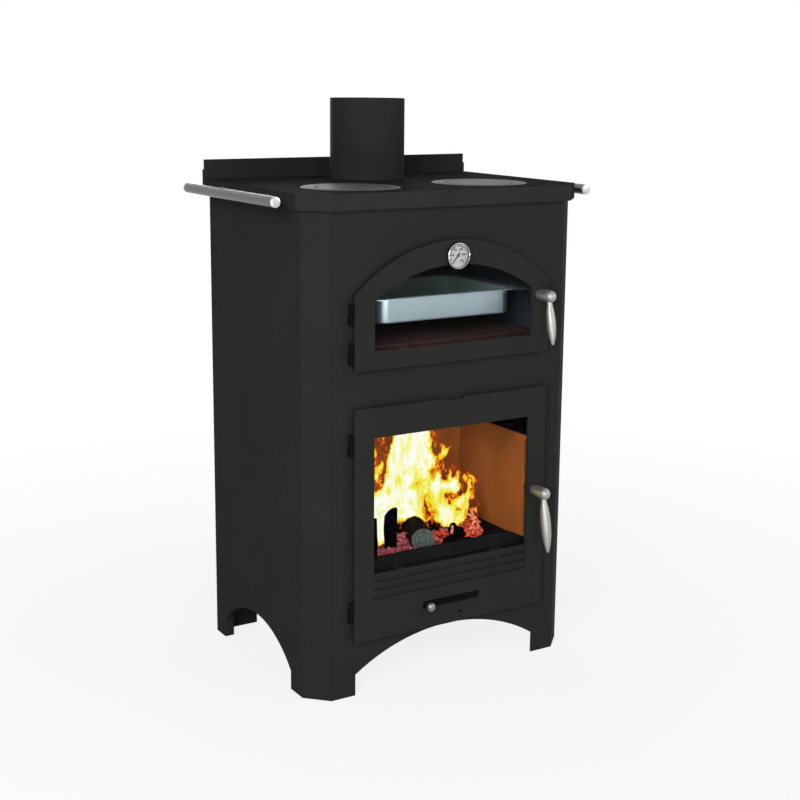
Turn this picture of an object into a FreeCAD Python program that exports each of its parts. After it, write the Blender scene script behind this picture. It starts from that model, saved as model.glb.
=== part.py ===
import FreeCAD, Part
import os
import re

# Wood-burning range cooker: arched casing, hob with two lids, oven above a firebox.
# Millimetres. Origin on the floor under the middle of the whole stove, front faces -Y, +Z up.

doc = FreeCAD.newDocument("stove")
sheet = doc.addObject("Spreadsheet::Sheet", "Sizes")

SIZES = [
    # Casing
    ("casing_width", "596 mm", "outside width of the casing"),
    ("casing_depth", "428 mm", "outside depth of the casing"),
    ("hob_height", "948 mm", "floor to the top of the hob"),
    ("corner_chamfer", "40 mm", "leg of the chamfered front corners"),
    ("sheet_wall", "3 mm", "casing sheet"),
    ("front_arch_rise", "104 mm", "floor to the crown of the front arch"),
    ("front_arch_radius", "372 mm", "radius of the front arch"),
    ("front_arch_span", "412 mm", "clear width between the front feet"),
    ("side_arch_rise", "102 mm", "floor to the crown of the side arch"),
    ("side_arch_radius", "203 mm", "radius of the side arch"),
    ("side_arch_start", "88 mm", "front face to the side arch"),
    ("rear_foot", "42 mm", "length of the rear foot along the side"),
    ("foot_return_width", "17 mm", "inward return on the rear foot"),
    ("foot_return_height", "64 mm", "height of that return"),
    ("base_rise", "112 mm", "floor to the underside of the base plate"),
    ("base_thick", "4 mm", "base plate"),
    # Hob
    ("hob_overhang", "12 mm", "hob beyond the casing at the front and sides"),
    ("hob_chamfer", "48 mm", "leg of the hob's chamfered front corners"),
    ("hob_thick", "10 mm", "hob plate"),
    ("apron_height", "30 mm", "hob edge height"),
    ("apron_wall", "5 mm", "hob edge wall"),
    ("lid_diameter", "188 mm", "hotplate lid"),
    ("lid_spacing", "290 mm", "distance between the lid centres"),
    ("lid_set_back", "129 mm", "front face to the lid centres"),
    ("lid_gap", "1.5 mm", "radial gap around a lid"),
    ("lid_step", "6 mm", "thickness of the lid's rim"),
    ("lid_ledge", "9 mm", "ledge that carries a lid"),
    ("lid_spigot", "7 mm", "depth of the lid below its rim"),
    ("lid_groove_radius", "66 mm", "outside of the ring groove in a lid"),
    ("lid_groove_width", "3 mm", "ring groove"),
    ("lid_groove_depth", "2.5 mm", "ring groove"),
    ("splash_rise", "38.5 mm", "backsplash above the hob"),
    ("splash_thick", "3 mm", "backsplash sheet"),
    ("splash_drop", "20 mm", "backsplash below the hob top"),
    ("splash_step", "3 mm", "how much wider the lower half is at each end"),
    ("splash_inset", "2 mm", "upper half inside the hob's end"),
    ("splash_screw_radius", "4.5 mm", "backsplash screw head"),
    ("splash_screw_shank", "2.5 mm", "backsplash screw shank"),
    ("splash_screw_length", "12 mm", "backsplash screw in the hob"),
    ("splash_screw_spacing", "180 mm", "distance between backsplash screws"),
    # Flue
    ("flue_diameter", "150 mm", "outside of the flue pipe"),
    ("flue_wall", "2 mm", "flue pipe wall"),
    ("flue_rise", "160 mm", "flue pipe above the hob"),
    ("flue_margin", "7 mm", "flue pipe to the inner shell"),
    ("spigot_wall", "3 mm", "flue spigot wall"),
    ("spigot_rise", "40 mm", "spigot inside the pipe"),
    ("spigot_lip", "6 mm", "lip under the hob"),
    ("spigot_lip_thick", "4 mm", "thickness of that lip"),
    ("fit_gap", "0.3 mm", "running and sliding clearance"),
    # Rails
    ("rail_diameter", "20 mm", "towel rail tube"),
    ("rail_wall", "1.5 mm", "towel rail wall"),
    ("rail_rear_gap", "1 mm", "rail's rear end to the casing's rear"),
    ("rail_reach", "34 mm", "hob edge to the rail axis"),
    ("rail_set_back", "41 mm", "front face to the rail's front end"),
    ("rail_drop", "15 mm", "hob top to the rail axis"),
    ("rail_cap_thick", "3 mm", "end cap"),
    ("rail_plug", "8 mm", "cap plug inside the tube"),
    ("post_diameter", "10 mm", "rail post"),
    ("post_flange_diameter", "16 mm", "rail post flange"),
    ("post_flange_thick", "3 mm", "rail post flange"),
    ("post_spacing", "194 mm", "distance between two posts"),
    # Doors
    ("door_width", "432 mm", "both door leaves"),
    ("door_gap", "8 mm", "leaf to casing"),
    ("leaf_thick", "6 mm", "door leaf"),
    ("opening_margin", "16 mm", "leaf edge to the casing opening"),
    ("seal_outside", "4 mm", "leaf edge to the seal"),
    ("seal_width", "10 mm", "seal"),
    ("oven_door_height", "229 mm", "oven door's lower edge to its crown"),
    ("oven_door_drop", "91 mm", "hob top to the oven door's crown"),
    ("oven_door_radius", "302 mm", "oven door arch"),
    ("stile_width", "41 mm", "leaf beside both windows"),
    ("oven_sill", "35 mm", "leaf below the oven window"),
    ("oven_head", "46 mm", "leaf above the oven window's crown"),
    ("oven_window_radius", "302 mm", "oven window arch"),
    ("fire_door_bottom", "110 mm", "floor to the fire door"),
    ("door_spacing", "70 mm", "fire door's top edge to the oven door"),
    ("fire_sill", "129 mm", "leaf below the fire window"),
    ("fire_head", "57 mm", "leaf above the fire window"),
    ("glass_thick", "4 mm", "ceramic glass"),
    ("glass_lap", "6 mm", "glass behind the leaf"),
    ("notch_width", "41 mm", "air notch in the fire door's top edge"),
    ("notch_depth", "4 mm", "depth of that notch"),
    ("louvre_overrun", "1 mm", "louvre field beyond the window at each end"),
    ("louvre_height", "13 mm", "one louvre"),
    ("louvre_pitch", "16.5 mm", "louvre to louvre"),
    ("louvre_depth", "3.5 mm", "depth of a louvre"),
    ("louvre_drop", "50 mm", "fire window to the lowest louvre's lower edge"),
    ("slot_height", "15 mm", "air slot"),
    ("guide_overrun", "15 mm", "air guides beyond the window's sides"),
    ("slot_up", "47 mm", "fire door's lower edge to the air slot axis"),
    ("mark_up", "19 mm", "fire door's lower edge to the small oval hole"),
    ("mark_offset", "20 mm", "small oval hole off the middle"),
    ("mark_length", "11 mm", "small oval hole"),
    ("mark_height", "4 mm", "small oval hole"),
    # Glass clips
    ("clip_width", "24 mm", "glass clip"),
    ("clip_thick", "2 mm", "glass clip"),
    ("clip_foot", "10 mm", "clip foot on the leaf"),
    ("clip_lap", "5 mm", "clip over the glass"),
    ("clip_inset", "65 mm", "clips from the window's sides"),
    ("clip_screw_radius", "3.5 mm", "clip screw head"),
    ("clip_screw_head", "2 mm", "clip screw head"),
    # Hinges
    ("hinge_offset", "5 mm", "leaf edge to the hinge axis"),
    ("barrel_radius", "4 mm", "hinge barrel"),
    ("barrel_height", "20 mm", "one hinge knuckle"),
    ("hinge_pin_radius", "2 mm", "hinge pin"),
    ("hinge_web", "3 mm", "web between barrel and leaf"),
    ("bracket_web", "5 mm", "web between barrel and casing"),
    ("barrel_floor", "3 mm", "closed end of a knuckle"),
    ("oven_hinge_foot", "12 mm", "oven door's lower edge to its lower hinge"),
    ("oven_hinge_head", "84 mm", "oven door's lower edge to its upper hinge"),
    ("fire_hinge_foot", "40 mm", "fire door's lower edge to its lower hinge"),
    ("fire_hinge_head", "88 mm", "fire door's top edge to its upper hinge"),
    # Handles
    ("handle_inset", "24 mm", "leaf edge to the handle axis"),
    ("oven_handle_up", "113 mm", "oven door's lower edge to the handle axis"),
    ("fire_handle_up", "240 mm", "fire door's lower edge to the handle axis"),
    ("hub_diameter", "24 mm", "handle hub"),
    ("hub_length", "47 mm", "handle hub in front of the leaf"),
    ("hub_round", "5 mm", "rounding of the hub's end"),
    ("spindle_radius", "5 mm", "handle spindle"),
    ("front_reach", "70 mm", "front face to the foremost point of the grips"),
    ("grip_lean", "10 deg", "grip leaning away from the door"),
    ("grip_neck_radius", "5.4 mm", "grip neck"),
    ("grip_seat", "7 mm", "grip stem inside the hub"),
    ("oven_grip_length", "82 mm", "oven grip below the hub"),
    ("oven_grip_radius", "8.8 mm", "oven grip at its widest"),
    ("oven_grip_half", "38 mm", "half length of the oven grip's bulb"),
    ("fire_grip_length", "106 mm", "fire grip below the hub"),
    ("fire_grip_radius", "10.3 mm", "fire grip at its widest"),
    ("fire_grip_half", "50 mm", "half length of the fire grip's bulb"),
    ("tongue_gap", "1 mm", "latch tongue behind the casing sheet"),
    ("tongue_thick", "5 mm", "latch tongue"),
    ("tongue_width", "12 mm", "latch tongue"),
    ("tongue_reach", "20 mm", "latch tongue from the spindle axis"),
    ("tongue_eye", "8 mm", "radius of the tongue's eye"),
    ("spindle_end", "2 mm", "spindle beyond the tongue"),
    # Thermometer
    ("gauge_drop", "30 mm", "oven door's crown to the thermometer's middle"),
    ("gauge_radius", "25 mm", "thermometer case"),
    ("gauge_depth", "8.5 mm", "thermometer case"),
    ("gauge_wall", "2.2 mm", "thermometer case wall"),
    ("gauge_floor", "2 mm", "thermometer case back"),
    ("dial_thick", "0.8 mm", "thermometer dial"),
    ("lens_thick", "1.8 mm", "thermometer lens"),
    ("lens_recess", "0.8 mm", "lens below the bezel's rim"),
    ("needle_length", "17 mm", "thermometer needle"),
    ("needle_tail", "6 mm", "needle behind its axis"),
    ("needle_width", "2 mm", "thermometer needle"),
    ("needle_thick", "0.8 mm", "thermometer needle"),
    ("needle_boss", "2.4 mm", "needle boss radius"),
    ("needle_angle", "40 deg", "needle left of straight down"),
    ("stem_radius", "3.5 mm", "thermometer stem"),
    ("stem_length", "52 mm", "thermometer stem behind the leaf's front"),
    # Air slide
    ("knob_radius", "9.5 mm", "air knob"),
    ("knob_stand", "13 mm", "leaf front to the knob's centre"),
    ("knob_stem_radius", "3.5 mm", "air knob stem"),
    ("knob_stem_end", "1 mm", "air knob stem behind the slide"),
    ("knob_end_gap", "2.5 mm", "knob stem short of the slot's round end"),
    ("slide_lap", "2 mm", "air slide beyond the slot at full travel"),
    ("slide_height", "26 mm", "air slide"),
    ("slide_thick", "2 mm", "air slide"),
    ("guide_bar", "5 mm", "guide bar beside the slide"),
    ("guide_lap", "4 mm", "guide lip over the slide"),
    ("guide_lip", "1.5 mm", "guide lip"),
    ("guide_end", "10 mm", "guides beyond the slide's travel"),
    # Inner shell and firebox
    ("shell_margin", "48 mm", "casing's side to the inner shell"),
    ("shell_wall", "4 mm", "inner shell"),
    ("shell_rear_gap", "21 mm", "inner shell to the rear panel"),
    ("fire_floor_up", "130 mm", "fire door's lower edge to the firebox floor"),
    ("fire_floor_thick", "8 mm", "firebox floor plate"),
    ("firebrick_inset", "60 mm", "inner shell's outside to a side brick's face"),
    ("firebrick_thick", "32 mm", "firebrick"),
    ("firebrick_drop", "46 mm", "fire window's top to the top of the bricks"),
    ("firebrick_start", "20 mm", "front face to the side bricks"),
    ("firebox_rear_space", "183 mm", "rear brick's face to the casing's rear"),
    ("back_plate_thick", "4 mm", "steel plate behind the rear brick"),
    ("shelf_drop", "28 mm", "oven door's lower edge to the smoke shelf"),
    ("baffle_thick", "20 mm", "baffle slab"),
    ("baffle_start", "205 mm", "front face to the baffle"),
    ("grate_width", "224 mm", "grate"),
    ("grate_length", "174 mm", "grate"),
    ("grate_lip", "9 mm", "grate's bearing rim"),
    ("grate_rim", "5 mm", "grate rim thickness"),
    ("grate_drop", "9 mm", "grate below the floor's top"),
    ("grate_slot", "9 mm", "grate slot"),
    ("grate_bar", "10 mm", "grate bar"),
    ("grate_set_back", "140 mm", "front face to the grate's middle"),
    ("retainer_gap", "4 mm", "log retainer to a side brick"),
    ("retainer_height", "24 mm", "log retainer"),
    ("retainer_thick", "5 mm", "log retainer"),
    ("retainer_slope", "34 mm", "length of the retainer's sloping ends"),
    ("retainer_slope_height", "17 mm", "height of those ends"),
    ("retainer_set_back", "13 mm", "front face to the log retainer"),
    ("pan_half", "165 mm", "half width of the ash pan"),
    ("pan_overrun", "8 mm", "ash pan behind the rear brick's face"),
    ("pan_height", "70 mm", "ash pan"),
    ("pan_wall", "2 mm", "ash pan"),
    ("pan_set_back", "28 mm", "front face to the ash pan"),
    ("pan_grip_width", "90 mm", "ash pan's front grip"),
    ("pan_grip_reach", "14 mm", "ash pan's front grip"),
    # Oven
    ("oven_wall", "3 mm", "oven box"),
    ("oven_side_inset", "2 mm", "oven's inside wall within the leaf's edge"),
    ("oven_floor_up", "13 mm", "oven door's lower edge to the oven's inside floor"),
    ("oven_arch_inset", "12 mm", "oven roof inside the door's arch"),
    ("oven_rear_space", "158 mm", "oven's back to the casing's rear"),
    ("hearth_thick", "25 mm", "oven floor brick"),
    ("hearth_margin", "6 mm", "oven floor brick to the oven wall"),
    ("hearth_start", "16 mm", "front face to the oven floor brick"),
    ("runner_up", "106.7 mm", "oven's inside floor to the top of the runners"),
    ("runner_thick", "2 mm", "tray runner"),
    ("runner_height", "16 mm", "tray runner's upright flange"),
    ("runner_gap", "14 mm", "tray body to a runner's edge"),
    ("runner_start", "24 mm", "front face to the tray runners"),
    ("tray_half", "150 mm", "half width of the tray's body"),
    ("tray_lip", "24 mm", "tray's side lip"),
    ("tray_end_lip", "10 mm", "tray's front and rear lip"),
    ("tray_height", "49 mm", "tray"),
    ("tray_wall", "1.6 mm", "tray"),
    ("tray_rear_space", "28 mm", "tray's body to the oven's back"),
    ("tray_start", "30 mm", "front face to the tray's body"),
    ("tray_round", "24 mm", "tray's corner radius"),
    ("tray_offset", "9 mm", "tray right of the middle"),
    # Derived places
    ("casing_half", "casing_width / 2", "half width of the casing"),
    ("casing_top", "hob_height - hob_thick", "top edge of the casing"),
    ("front_face", "(front_reach - casing_depth - splash_thick) / 2", "front face of the casing"),
    ("rear_face", "front_face + casing_depth", "rear face of the casing"),
    ("oven_depth", "casing_depth - oven_rear_space", "front face to the oven's back"),
    ("firebox_depth", "casing_depth - firebox_rear_space", "front face to the rear brick"),
    ("rail_length", "casing_depth - rail_set_back - rail_rear_gap", "towel rail over its caps"),
    ("tray_length", "oven_depth - tray_start - tray_rear_space", "tray's body"),
    ("pan_depth", "firebox_depth - pan_set_back + pan_overrun", "ash pan"),
    ("front_back", "front_face + sheet_wall", "inside of the front panel"),
    ("inner_chamfer", "corner_chamfer - (2 - sqrt(2)) * sheet_wall", "chamfer inside the sheet"),
    ("hob_half", "casing_half + hob_overhang", "half width of the hob"),
    ("hob_front", "front_face - hob_overhang", "front edge of the hob"),
    ("apron_bottom", "hob_height - apron_height", "lower edge of the apron"),
    ("door_half", "door_width / 2", "half width of a leaf"),
    ("oven_door_top", "hob_height - oven_door_drop", "floor to the oven door's crown"),
    ("oven_door_bottom", "oven_door_top - oven_door_height", "floor to the oven door"),
    ("fire_door_top", "oven_door_bottom - door_spacing", "floor to the fire door's top edge"),
    ("fire_floor_top", "fire_door_bottom + fire_floor_up", "floor to the firebox floor"),
    ("smoke_shelf", "oven_door_bottom - shelf_drop", "floor to the top of the smoke shelf"),
    ("leaf_back", "front_face - door_gap", "back of a leaf"),
    ("leaf_front", "leaf_back - leaf_thick", "front of a leaf"),
    ("oven_arch_centre", "oven_door_top - oven_door_radius", "centre of the oven door's arch"),
    ("window_half", "door_half - stile_width", "half width of a window"),
    ("oven_window_bottom", "oven_door_bottom + oven_sill", "floor to the oven window"),
    ("oven_window_top", "oven_door_top - oven_head", "floor to the oven window's crown"),
    ("fire_window_bottom", "fire_door_bottom + fire_sill", "floor to the fire window"),
    ("fire_window_top", "fire_door_top - fire_head", "floor to the fire window's top"),
    ("louvre_width", "2 * (window_half + louvre_overrun)", "louvre field"),
    ("louvre_bottom", "fire_window_bottom - louvre_drop", "floor to the lowest louvre"),
    ("slot_rise", "fire_door_bottom + slot_up", "floor to the air slot axis"),
    ("mark_rise", "fire_door_bottom + mark_up", "floor to the small oval hole"),
    ("clip_offset", "window_half - clip_inset", "clips from the middle"),
    ("oven_hinge_low", "oven_door_bottom + oven_hinge_foot", "oven door's lower hinge"),
    ("oven_hinge_high", "oven_door_bottom + oven_hinge_head", "oven door's upper hinge"),
    ("fire_hinge_low", "fire_door_bottom + fire_hinge_foot", "fire door's lower hinge"),
    ("fire_hinge_high", "fire_door_top - fire_hinge_head", "fire door's upper hinge"),
    ("handle_offset", "door_half - handle_inset", "handle axis from the middle"),
    ("grip_forward", "(fire_grip_length - fire_grip_half) * sin(grip_lean)"
     " + sqrt((fire_grip_half * sin(grip_lean)) ^ 2 + (fire_grip_radius * cos(grip_lean)) ^ 2)",
     "foremost point of the longer grip ahead of its top"),
    ("grip_set_out", "front_reach - door_gap - leaf_thick - grip_forward", "leaf to a grip's top"),
    ("oven_handle_rise", "oven_door_bottom + oven_handle_up", "oven handle axis"),
    ("fire_handle_rise", "fire_door_bottom + fire_handle_up", "fire handle axis"),
    ("gauge_rise", "oven_door_top - gauge_drop", "floor to the thermometer"),
    ("guide_half", "window_half + guide_overrun", "half length of the guides"),
    ("slot_travel", "guide_half + slot_height + 2 * knob_end_gap - slide_lap - guide_end",
     "slot and one knob travel"),
    ("slot_length", "slot_travel / 1.5", "air slot"),
    ("knob_start", "slot_length / 2 - slot_height / 2 - knob_end_gap", "knob left of the middle when shut"),
    ("slide_half", "slot_length / 2 + knob_start + slide_lap", "half length of the air slide"),
    ("shell_half", "casing_half - shell_margin", "half width of the inner shell"),
    ("firebrick_inside", "shell_half - firebrick_inset", "middle to a side brick"),
    ("retainer_half", "firebrick_inside - retainer_gap", "half width of the log retainer"),
    ("oven_half", "door_half - oven_side_inset", "half width inside the oven"),
    ("oven_floor", "oven_door_bottom + oven_floor_up", "floor to the oven box's inside"),
    ("runner_rise", "oven_floor + runner_up", "floor to the top of the tray runners"),
    ("runner_reach", "oven_half - tray_half - runner_gap", "tray runner from the oven wall"),
    ("window_arch_centre", "oven_window_top - oven_window_radius", "centre of the window's arch"),
    ("hinge_x", "-door_half - hinge_offset", "hinge axis"),
    ("flue_radius", "flue_diameter / 2", "flue pipe"),
    ("flue_set_in", "sheet_wall + shell_rear_gap + shell_wall + flue_radius + flue_margin",
     "flue centre in from the rear"),
    ("flue_y", "rear_face - flue_set_in", "flue axis"),
    ("spigot_radius", "flue_radius - flue_wall - fit_gap", "flue spigot"),
    ("rail_x", "hob_half + rail_reach", "rail axis"),
    ("rail_z", "hob_height - rail_drop", "rail axis"),
    ("rail_front", "front_face + rail_set_back", "front end of a rail"),
    ("lid_radius", "lid_diameter / 2", "hotplate lid"),
    ("lid_y", "front_face + lid_set_back", "lid centre"),
    ("shell_rear", "rear_face - sheet_wall - shell_rear_gap", "outside of the inner shell's rear"),
    ("base_top", "base_rise + base_thick", "top of the base plate"),
    ("firebrick_top", "fire_window_top - firebrick_drop", "top of the firebricks"),
    ("firebox_rear", "front_face + firebox_depth + firebrick_thick", "rear of the rear brick"),
    ("tray_top", "runner_rise + fit_gap + tray_wall", "top of the tray"),
    ("gauge_front", "leaf_front - gauge_depth", "front of the thermometer"),
    ("dial_front", "leaf_front - gauge_floor - dial_thick", "face of the dial"),
]

for row, (alias, value, note) in enumerate(SIZES, start=1):
    sheet.set("A%d" % row, note)
    sheet.set("B%d" % row, "=" + value)
    sheet.setAlias("B%d" % row, alias)
doc.recompute()

ALIASES = set(entry[0] for entry in SIZES)
NODES = {}
COUNTER = {}


def bound(text):
    """Expression text with each size named in the sheet."""
    def named(match):
        word = match.group(0)
        return "Sizes." + word if word in ALIASES else word

    return re.sub(r"[a-z][a-z_]*", named, text)


def size(alias):
    """A size as a plain number, for counts."""
    return float(getattr(sheet, alias))


def make(kind, stem):
    COUNTER[stem] = COUNTER.get(stem, 0) + 1
    return doc.addObject(kind, "%s_%d" % (stem, COUNTER[stem]))


def tie(obj, prop, text):
    obj.setExpression(prop, bound(text))


def at(obj, x, y, z):
    tie(obj, "Placement.Base.x", x)
    tie(obj, "Placement.Base.y", y)
    tie(obj, "Placement.Base.z", z)


def box(x0, x1, y0, y1, z0, z1):
    obj = make("Part::Box", "block")
    tie(obj, "Length", "(%s) - (%s)" % (x1, x0))
    tie(obj, "Width", "(%s) - (%s)" % (y1, y0))
    tie(obj, "Height", "(%s) - (%s)" % (z1, z0))
    at(obj, x0, y0, z0)
    return obj


def cylinder(radius, length, x, y, z, turn):
    obj = make("Part::Cylinder", "round")
    tie(obj, "Radius", radius)
    tie(obj, "Height", length)
    obj.Placement = FreeCAD.Placement(FreeCAD.Vector(0, 0, 0), turn)
    at(obj, x, y, z)
    return obj


UPRIGHT = FreeCAD.Rotation()
ALONG_Y = FreeCAD.Rotation(FreeCAD.Vector(1, 0, 0), -90)
ALONG_X = FreeCAD.Rotation(FreeCAD.Vector(0, 1, 0), 90)


def cyl_z(radius, x, y, z0, z1):
    return cylinder(radius, "(%s) - (%s)" % (z1, z0), x, y, z0, UPRIGHT)


def cyl_y(radius, x, z, y0, y1):
    return cylinder(radius, "(%s) - (%s)" % (y1, y0), x, y0, z, ALONG_Y)


def cyl_x(radius, y, z, x0, x1):
    return cylinder(radius, "(%s) - (%s)" % (x1, x0), x0, y, z, ALONG_X)


def fuse(pieces):
    if len(pieces) == 1:
        return pieces[0]
    obj = make("Part::MultiFuse", "joined")
    obj.Shapes = pieces
    obj.Refine = True
    return obj


def cut(base, tools):
    obj = make("Part::Cut", "cut")
    obj.Base = base
    obj.Tool = fuse(tools)
    obj.Refine = True
    return obj


def common(first, second):
    obj = make("Part::MultiCommon", "shared")
    obj.Shapes = [first, second]
    obj.Refine = True
    return obj


def group(pieces):
    obj = make("Part::Compound", "set")
    obj.Links = pieces
    return obj


def node(name, obj):
    obj.Label = name
    NODES[name] = obj
    return obj


def chamfered(half, y0, y1, leg, z0, z1):
    """Block with both front corners chamfered."""
    body = box("-(%s)" % half, half, y0, y1, z0, z1)
    corners = []
    for side in (-1, 1):
        corner = make("Part::Box", "corner")
        tie(corner, "Length", "(sqrt(2) + 2) * (%s)" % leg)
        tie(corner, "Width", leg)
        tie(corner, "Height", "(%s) - (%s) + 2 mm" % (z1, z0))
        turn = FreeCAD.Rotation(FreeCAD.Vector(0, 0, 1), 45 * side)
        corner.Placement = FreeCAD.Placement(FreeCAD.Vector(0, 0, 0), turn)
        if side < 0:
            at(corner, "-(%s) - sqrt(2) * (%s)" % (half, leg), "(%s) + (%s)" % (y0, leg),
               "(%s) - 1 mm" % z0)
        else:
            at(corner, "(%s) - (%s)" % (half, leg), "(%s) - sqrt(2) * (%s)" % (y0, leg), "(%s) - 1 mm" % z0)
        corners.append(corner)
    return cut(body, corners)


def arched(half, bottom, radius, centre, y0, y1):
    """Upright slab with straight sides and an arched top."""
    slab = box("-(%s)" % half, half, y0, y1, bottom, "(%s) + (%s)" % (centre, radius))
    return common(slab, cyl_y(radius, "0 mm", centre, y0, y1))


def arch_cut(half, rise, radius, y0, y1):
    """Tool for an arch along Y that starts at the floor."""
    slab = box("-(%s)" % half, half, y0, y1, "-1 mm", "(%s) + 1 mm" % rise)
    return common(slab, cyl_y(radius, "0 mm", "(%s) - (%s)" % (rise, radius), y0, y1))


def obround_y(length, height, x, z, y0, y1):
    """Slot with round ends along X, cut along Y."""
    reach = "((%s) - (%s)) / 2" % (length, height)
    radius = "(%s) / 2" % height
    left = "(%s) - %s" % (x, reach)
    right = "(%s) + %s" % (x, reach)
    return fuse([
        box(left, right, y0, y1, "(%s) - %s" % (z, radius), "(%s) + %s" % (z, radius)),
        cyl_y(radius, left, z, y0, y1),
        cyl_y(radius, right, z, y0, y1),
    ])


# Casing
def casing_ring():
    outer = chamfered("casing_half", "front_face", "rear_face", "corner_chamfer", "0 mm", "casing_top")
    inner = chamfered("casing_half - sheet_wall", "front_back", "rear_face + 5 mm", "inner_chamfer",
                      "-2 mm", "casing_top + 2 mm")
    return cut(outer, [inner])


def oven_opening(y0, y1):
    return arched("door_half - opening_margin", "oven_door_bottom + opening_margin",
                  "oven_door_radius - opening_margin", "oven_arch_centre", y0, y1)


front_flat = common(casing_ring(), box("-casing_half + corner_chamfer", "casing_half - corner_chamfer",
                                       "front_face - 1 mm", "front_back + 1 mm", "0 mm", "casing_top"))
node("front_panel", cut(front_flat, [
    arch_cut("front_arch_span / 2", "front_arch_rise", "front_arch_radius", "front_face - 2 mm",
             "front_back + 2 mm"),
    oven_opening("front_face - 2 mm", "front_back + 2 mm"),
    box("-door_half + opening_margin", "door_half - opening_margin", "front_face - 2 mm",
        "front_back + 2 mm",
        "fire_door_bottom + opening_margin", "fire_door_top - opening_margin"),
]))

ARCH_START = "front_face + side_arch_start"
ARCH_END = "rear_face - rear_foot"


def side_panel(side):
    if side < 0:
        half_space = box("-casing_half - 1 mm", "-casing_half + corner_chamfer",
                         "front_face - 1 mm", "rear_face", "0 mm", "casing_top")
        x0, x1 = "-casing_half - 2 mm", "-casing_half + sheet_wall + 2 mm"
        r0, r1 = "-casing_half + sheet_wall", "-casing_half + sheet_wall + foot_return_width"
    else:
        half_space = box("casing_half - corner_chamfer", "casing_half + 1 mm",
                         "front_face - 1 mm", "rear_face", "0 mm", "casing_top")
        x0, x1 = "casing_half - sheet_wall - 2 mm", "casing_half + 2 mm"
        r0, r1 = "casing_half - sheet_wall - foot_return_width", "casing_half - sheet_wall"
    span = box(x0, x1, ARCH_START, ARCH_END, "-1 mm", "side_arch_rise + 1 mm")
    curve = cyl_x("side_arch_radius", "(%s + %s) / 2" % (ARCH_START, ARCH_END),
                  "side_arch_rise - side_arch_radius", x0, x1)
    panel = cut(common(casing_ring(), half_space), [common(span, curve)])
    lip = box(r0, r1, ARCH_END, ARCH_END + " + sheet_wall", "0 mm", "foot_return_height")
    return fuse([panel, lip])


node("left_side_panel", side_panel(-1))
node("right_side_panel", side_panel(1))

rear_sheet = box("-casing_half + sheet_wall", "casing_half - sheet_wall", "rear_face - sheet_wall",
                 "rear_face",
                 "0 mm", "casing_top")
node("rear_panel", cut(rear_sheet, [
    arch_cut("front_arch_span / 2", "front_arch_rise", "front_arch_radius",
             "rear_face - sheet_wall - 2 mm", "rear_face + 2 mm")]))

node("base_plate", chamfered("casing_half - sheet_wall", "front_back", "rear_face - sheet_wall",
                             "inner_chamfer",
                             "base_rise", "base_top"))

# Hob, lids and backsplash
hob_block = chamfered("hob_half", "hob_front", "rear_face", "hob_chamfer", "apron_bottom", "hob_height")
hob_hollow = chamfered("hob_half - apron_wall", "hob_front + apron_wall", "rear_face + 5 mm",
                       "hob_chamfer - (2 - sqrt(2)) * apron_wall", "apron_bottom - 5 mm", "casing_top")
hob_cuts = [hob_hollow, cyl_z("spigot_radius + fit_gap", "0 mm", "flue_y", "casing_top - 2 mm",
                              "hob_height + 2 mm")]
for lid_x in ("-lid_spacing / 2", "lid_spacing / 2"):
    hob_cuts.append(cyl_z("lid_radius + lid_gap", lid_x, "lid_y", "hob_height - lid_step",
                          "hob_height + 2 mm"))
    hob_cuts.append(cyl_z("lid_radius - lid_ledge", lid_x, "lid_y", "casing_top - 2 mm",
                          "hob_height + 2 mm"))
hob_body = cut(hob_block, hob_cuts)


def lid(x):
    disc = fuse([
        cyl_z("lid_radius", x, "lid_y", "hob_height - lid_step", "hob_height"),
        cyl_z("lid_radius - lid_ledge - lid_gap", x, "lid_y", "hob_height - lid_step - lid_spigot",
              "hob_height"),
    ])
    groove = cut(
        cyl_z("lid_groove_radius", x, "lid_y", "hob_height - lid_groove_depth", "hob_height + 1 mm"),
        [cyl_z("lid_groove_radius - lid_groove_width", x, "lid_y", "hob_height - 2 * lid_groove_depth",
               "hob_height + 2 mm")])
    return cut(disc, [groove])


node("left_hotplate", lid("-lid_spacing / 2"))
node("right_hotplate", lid("lid_spacing / 2"))

splash_sheet = fuse([
    box("-hob_half + splash_inset", "hob_half - splash_inset", "rear_face", "rear_face + splash_thick",
        "hob_height - splash_drop", "hob_height + splash_rise"),
    box("-hob_half + splash_inset - splash_step", "hob_half - splash_inset + splash_step",
        "rear_face", "rear_face + splash_thick", "hob_height - splash_drop",
        "hob_height + splash_rise / 2"),
])

# The backsplash's screws enter the hob's rear edge; the heads lie in the sheet's countersinks.
splash_holes = []
hob_holes = []
splash_screws = []
for place in ("-1.5", "-0.5", "0.5", "1.5"):
    screw_x = "%s * splash_screw_spacing" % place
    screw_z = "hob_height - hob_thick / 2"
    splash_holes.append(cyl_y("splash_screw_radius + fit_gap", screw_x, screw_z,
                              "rear_face + splash_thick / 3",
                              "rear_face + splash_thick + 1 mm"))
    splash_holes.append(cyl_y("splash_screw_shank + fit_gap", screw_x, screw_z, "rear_face - 1 mm",
                              "rear_face + splash_thick + 1 mm"))
    hob_holes.append(cyl_y("splash_screw_shank + fit_gap", screw_x, screw_z,
                           "rear_face - splash_screw_length - 2 mm", "rear_face + 1 mm"))
    splash_screws.append(fuse([
        cyl_y("splash_screw_radius", screw_x, screw_z, "rear_face + splash_thick / 3",
              "rear_face + splash_thick"),
        cyl_y("splash_screw_shank", screw_x, screw_z, "rear_face - splash_screw_length",
              "rear_face + splash_thick"),
    ]))
node("backsplash", cut(splash_sheet, splash_holes))
node("hob_plate", cut(hob_body, hob_holes))
node("splash_screws", group(splash_screws))

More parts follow.
